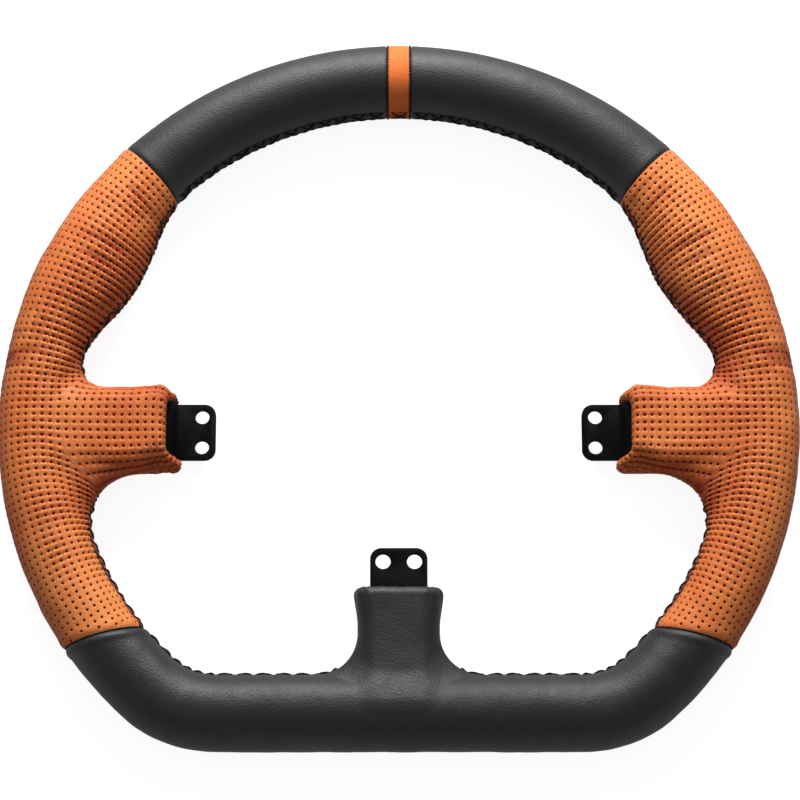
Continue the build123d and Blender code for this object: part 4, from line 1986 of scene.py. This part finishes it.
@dataclass
class Grip:
    """A perforated orange panel with the sleeve of its spoke, and the lacing that closes it.

    Attributes:
        unlaced: Angles between which the sleeve interrupts the lacing.
        steady: How far the lacing leaves the middle for the back, less than zero for the front.
        swing: How much further back it swings towards the sleeve.
    """

    side: Side
    seed: int
    row: float = 1.1
    span: tuple[float, float] = (134.49, 223.5)
    root_angle: float = 172.9
    root_rows: int = 15
    pitch: float = 5.9
    unlaced: tuple[float, float] = (165.0, 202.0)
    steady: float = -1.9
    swing: float = 5.9

    def leather(self) -> Skin:
        """Describes the panel with its gathers, pinches and folds.

        Returns:
            The panel.
        """
        turn = np.arange(*self.span, self.row)
        first = int(np.argmin(np.abs(turn - self.root_angle)))
        stop, again = (run_at(a) for a in self.unlaced)
        return Skin(
            f"{self.side.value}_grip_skin", np.array([run_at(a) for a in turn]), UPPER_SEAM, LOWER_SEAM,
            [(0, stop), (again, EVERYWHERE)], self.seed, lumps=0.2, lump_size=16.0, creases=0.05, puff=0.3,
            side_shade=0.5, tuck_depth=0.5, tuck_width=0.32, tuck_shade=0.25, sleeve=SIDE_SLEEVE,
            root=(first, first + self.root_rows), pierced=True, rounds=1,
            pleats=[
                Pleats(138, 171, 0.62, 0.25, 0.95),
                Pleats(171, 190, 0.5, 0.2, 0.42),
                Pleats(190, 208, 0.6, 0.28, 0.7),
            ],
            pinches=[Pleats(161, 176, 0.05, 0.0, 0.32, fade=4.0), Pleats(136, 144, 0.9, 0.55, 0.35)],
            folds=[
                Fold(171.2, -3.5, 1.1, 0.5, 0.06, 0.5, 0.55),
                Fold(172.6, -2.0, 0.45, 0.35, 0.05, 0.4),
                Fold(149.5, -3.0, 0.6, 0.45, 0.4, 0.72),
                Fold(152.5, -3.5, 0.5, 0.35, 0.45, 0.75),
                Fold(139.0, 3.0, 0.5, 0.35, 0.5, 0.85),
            ],
        )

    def lacings(self, distance: Callable[[np.ndarray], np.ndarray]) -> list[Lacing]:
        """Describes the lacings above and below the sleeve, and the one that closes it at the back.

        Args:
            distance: Distance to the skin.

        Returns:
            The three lacings.
        """
        side = self.side.value
        upper = eased_line(run_at(166), run_at(175), self.steady, self.swing)
        lower = eased_line(run_at(203), run_at(189), self.steady, self.swing)
        along_rim = {"width": 2.4, "thread": 0.42, "lift": 0.85, "lip": 0.95}
        return [
            Lacing(
                f"{side}_upper_cross_lacing", f"{side}_upper_lacing", distance, upper, run_at(134.9),
                run_at(174.5), self.pitch, self.seed, **along_rim,
            ),
            Lacing(
                f"{side}_lower_cross_lacing", f"{side}_lower_lacing", distance, lower, run_at(219.6),
                run_at(189.5), self.pitch, self.seed + 1, **along_rim,
            ),
            Lacing(
                f"{side}_sleeve_closing", f"{side}_sleeve_closing_thread", distance,
                sleeve_line(SIDE_SLEEVE), 118.0, 89.0, 5.0, self.seed + 2, width=1.9,
            ),
        ]

    def build(self, finishes: Finishes) -> None:
        """Builds the panel and its lacings.

        Args:
            finishes: The wheel's finishes.
        """
        skin = self.leather()
        lacings = self.lacings(skin.distance)
        mesh = skin.build()
        threads = sew(mesh, lacings, self.side)
        node = f"{self.side.value}_grip_leather"
        piece = place_piece(skin.name, mesh, finishes.perforated, node)
        sewn = place_threads(lacings, threads, finishes)


@dataclass
class Bottom:
    """The black panel along the flat bottom, with the sleeve of the bottom spoke.

    Attributes:
        unlaced: Half the length along which the sleeve interrupts the lacing.
        eased: Distances from the middle between which the lacing swings back.
    """

    row: float = 3.0
    first_angle: float = 213.0
    root_rows: int = 15
    pitch: float = 7.0
    laced_from: float = 221.2
    unlaced: float = 30.0
    near: float = 17.5
    eased: tuple[float, float] = (24.0, 17.0)
    swing: float = 4.0
    seed: int = 41

    def leather(self) -> Skin:
        """Describes the panel.

        Returns:
            The panel.
        """
        middle = RIM.lowest_run
        count = round((middle - run_at(self.first_angle)) / self.row - 0.5)
        first = count - self.root_rows // 2
        return Skin(
            "bottom_skin", middle + (np.arange(-count - 0.5, count + 1)) * self.row, LOWER_SEAM,
            flipped(LOWER_SEAM), [(0, middle - self.unlaced), (middle + self.unlaced, EVERYWHERE)],
            self.seed, lumps=0.14, creases=0.03, puff=0.45, sleeve=BOTTOM_SLEEVE,
            root=(first, first + self.root_rows),
        )

    def lacings(self, distance: Callable[[np.ndarray], np.ndarray]) -> list[Lacing]:
        """Describes the lacings beside the sleeve, and the one that closes it at the back.

        Args:
            distance: Distance to the skin.

        Returns:
            The three lacings.
        """
        middle, start = RIM.lowest_run, run_at(self.laced_from)
        line = eased_line(*self.eased, 0.0, self.swing, middle)
        return [
            Lacing(
                "bottom_left_cross_lacing", "bottom_left_lacing", distance, line, start,
                middle - self.near, self.pitch, 51,
            ),
            Lacing(
                "bottom_right_cross_lacing", "bottom_right_lacing", distance, line, 2 * middle - start,
                middle + self.near, self.pitch, 57,
            ),
            Lacing(
                "bottom_sleeve_closing", "bottom_sleeve_closing_thread", distance,
                sleeve_line(BOTTOM_SLEEVE), 92.0, 64.0, 5.0, 61, width=1.9,
            ),
        ]

    def build(self, finishes: Finishes) -> None:
        """Builds the panel and its lacings.

        Args:
            finishes: The wheel's finishes.
        """
        skin = self.leather()
        lacings = self.lacings(skin.distance)
        mesh = skin.build()
        threads = sew(mesh, lacings)
        sewn = place_threads(lacings, threads, finishes)
        piece = place_piece(skin.name, mesh, finishes.black, "bottom_leather")


@dataclass
class CrossSeams:
    """The corded threads in the six cross seams: radius, and how deep they lie."""

    stripe: tuple[float, float] = (0.36, 0.02)
    grip: tuple[float, float] = (0.3, 0.5)

    def build(self, finishes: Finishes) -> None:
        """Builds the threads on both sides.

        Args:
            finishes: The wheel's finishes.
        """
        kinds = (
            ("stripe", STRIPE_SEAM, STRIPE_ANGLE, self.stripe, finishes.seam_cord),
            ("upper", UPPER_SEAM, UPPER_ANGLE, self.grip, finishes.thread),
            ("lower", LOWER_SEAM, LOWER_ANGLE, self.grip, finishes.thread),
        )
        for label, seam, angle, sizes, material in kinds:
            for side in Side:
                name = f"{label}_{side.value}_seam"
                mesh = SeamThread(f"{name}_cord", seam, run_at(angle), *sizes).mesh()
                if side is Side.RIGHT:
                    mirror_mesh(mesh)
                place_piece(f"{name}_cord", mesh, material, f"{name}_thread")


@dataclass
class Studio:
    """The floor, lamp and camera, in metres.

    Attributes:
        white: How bright the camera sees the floor.
        mirrored: How bright a mirror sees it, as a share of that.
        ambient: Strength of the even light from all round.
        tilt: How far below the wheel's axis the camera looks from, in degrees.
    """

    floor_z: float = -0.0067
    floor_radius: float = 6.0
    wall: float = 2.4
    grey: float = 0.35
    white: float = 0.9
    mirrored: float = 0.4
    ambient: float = 0.34
    distance: float = 1.0
    tilt: float = 14.43
    lens: float = 120.0
    target: tuple[float, float, float] = (0.0, 0.0024, 0.008)
    shift: tuple[float, float] = (0.0015, 0.02775)
    key_place: tuple[float, float, float] = (0.0, 0.78, 0.44)
    key_size: tuple[float, float] = (0.7, 0.35)
    key_power: float = 12.5

    def add_floor(self) -> None:
        """Lays a wide pale floor with a low wall round it, which stay near white and keep the shadow."""
        mesh = bmesh.new()
        bmesh.ops.create_circle(mesh, cap_ends=True, segments=96, radius=self.floor_radius)
        bmesh.ops.translate(mesh, vec=(0, 0, self.floor_z), verts=mesh.verts)
        rim = [e for e in mesh.edges if e.is_boundary]
        made = bmesh.ops.extrude_edge_only(mesh, edges=rim)["geom"]
        top = [g for g in made if isinstance(g, bmesh.types.BMVert)]
        bmesh.ops.translate(mesh, vec=(0, 0, self.wall), verts=top)
        shape = finished(mesh, "floor")
        floor = bpy.data.objects.new("floor", shape)
        bpy.context.scene.collection.objects.link(floor)
        material, tree, shader = new_material("pale_floor")
        path = tree.add("ShaderNodeLightPath")
        mirrored = tree.math("MAXIMUM", path.outputs["Is Glossy Ray"], path.outputs["Is Transmission Ray"])
        dimmed = tree.math("MULTIPLY", mirrored, self.mirrored)
        seen = tree.math("MAXIMUM", path.outputs["Is Camera Ray"], dimmed)
        tree.feed(shader, {
            "Base Color": (self.grey, self.grey, self.grey, 1),
            "Roughness": 0.9,
            "Specular IOR Level": 0.0,
            "Emission Color": (1, 1, 1, 1),
            "Emission Strength": tree.math("MULTIPLY", seen, self.white),
        })
        shape.materials.append(material)

    def add_key(self) -> None:
        """Hangs the rectangular key lamp over the wheel, turned to its middle."""
        lamp = bpy.data.lights.new("key", "AREA")
        lamp.shape = "RECTANGLE"
        lamp.size, lamp.size_y = self.key_size
        lamp.energy = self.key_power
        holder = bpy.data.objects.new("key", lamp)
        holder.location = self.key_place
        down = Vector(self.target) - Vector(self.key_place)
        holder.rotation_euler = down.to_track_quat("-Z", "Y").to_euler()
        bpy.context.scene.collection.objects.link(holder)

    def add_world(self) -> None:
        """Surrounds the scene with a plain, even light."""
        world = bpy.data.worlds.new("studio")
        world.use_nodes = True
        bpy.context.scene.world = world
        back = world.node_tree.nodes["Background"]
        back.inputs["Color"].default_value = (1, 1, 1, 1)
        back.inputs["Strength"].default_value = self.ambient

    def add_camera(self) -> None:
        """Sets up the camera in front of the wheel, a little below its middle."""
        lens = bpy.data.cameras.new("camera")
        lens.lens = self.lens
        lens.sensor_width = 36.0
        lens.shift_x, lens.shift_y = self.shift
        lens.clip_start, lens.clip_end = 0.01, 100.0
        camera = bpy.data.objects.new("camera", lens)
        turn = math.radians(self.tilt)
        away = Vector((0, -math.sin(turn), math.cos(turn))) * self.distance
        camera.location = Vector(self.target) + away
        camera.rotation_euler = (turn, 0, 0)
        bpy.context.scene.collection.objects.link(camera)
        bpy.context.scene.camera = camera

    def build(self) -> None:
        """Sets the studio up."""
        bpy.context.scene.view_settings.view_transform = "Standard"
        self.add_floor()
        self.add_world()
        self.add_key()
        self.add_camera()


def main() -> None:
    """Builds the wheel and its studio."""
    logging.basicConfig(level=logging.INFO, format="%(name)s: %(message)s")
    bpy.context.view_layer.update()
    finishes = Finishes()
    Plates().build(finishes)
    Foam().build(finishes)
    PlainArc().build(finishes)
    Grip(Side.LEFT, seed=21).build(finishes)
    Grip(Side.RIGHT, seed=31).build(finishes)
    Bottom().build(finishes)
    CrossSeams().build(finishes)
    Studio().build()


if __name__ == "__main__":
    main()
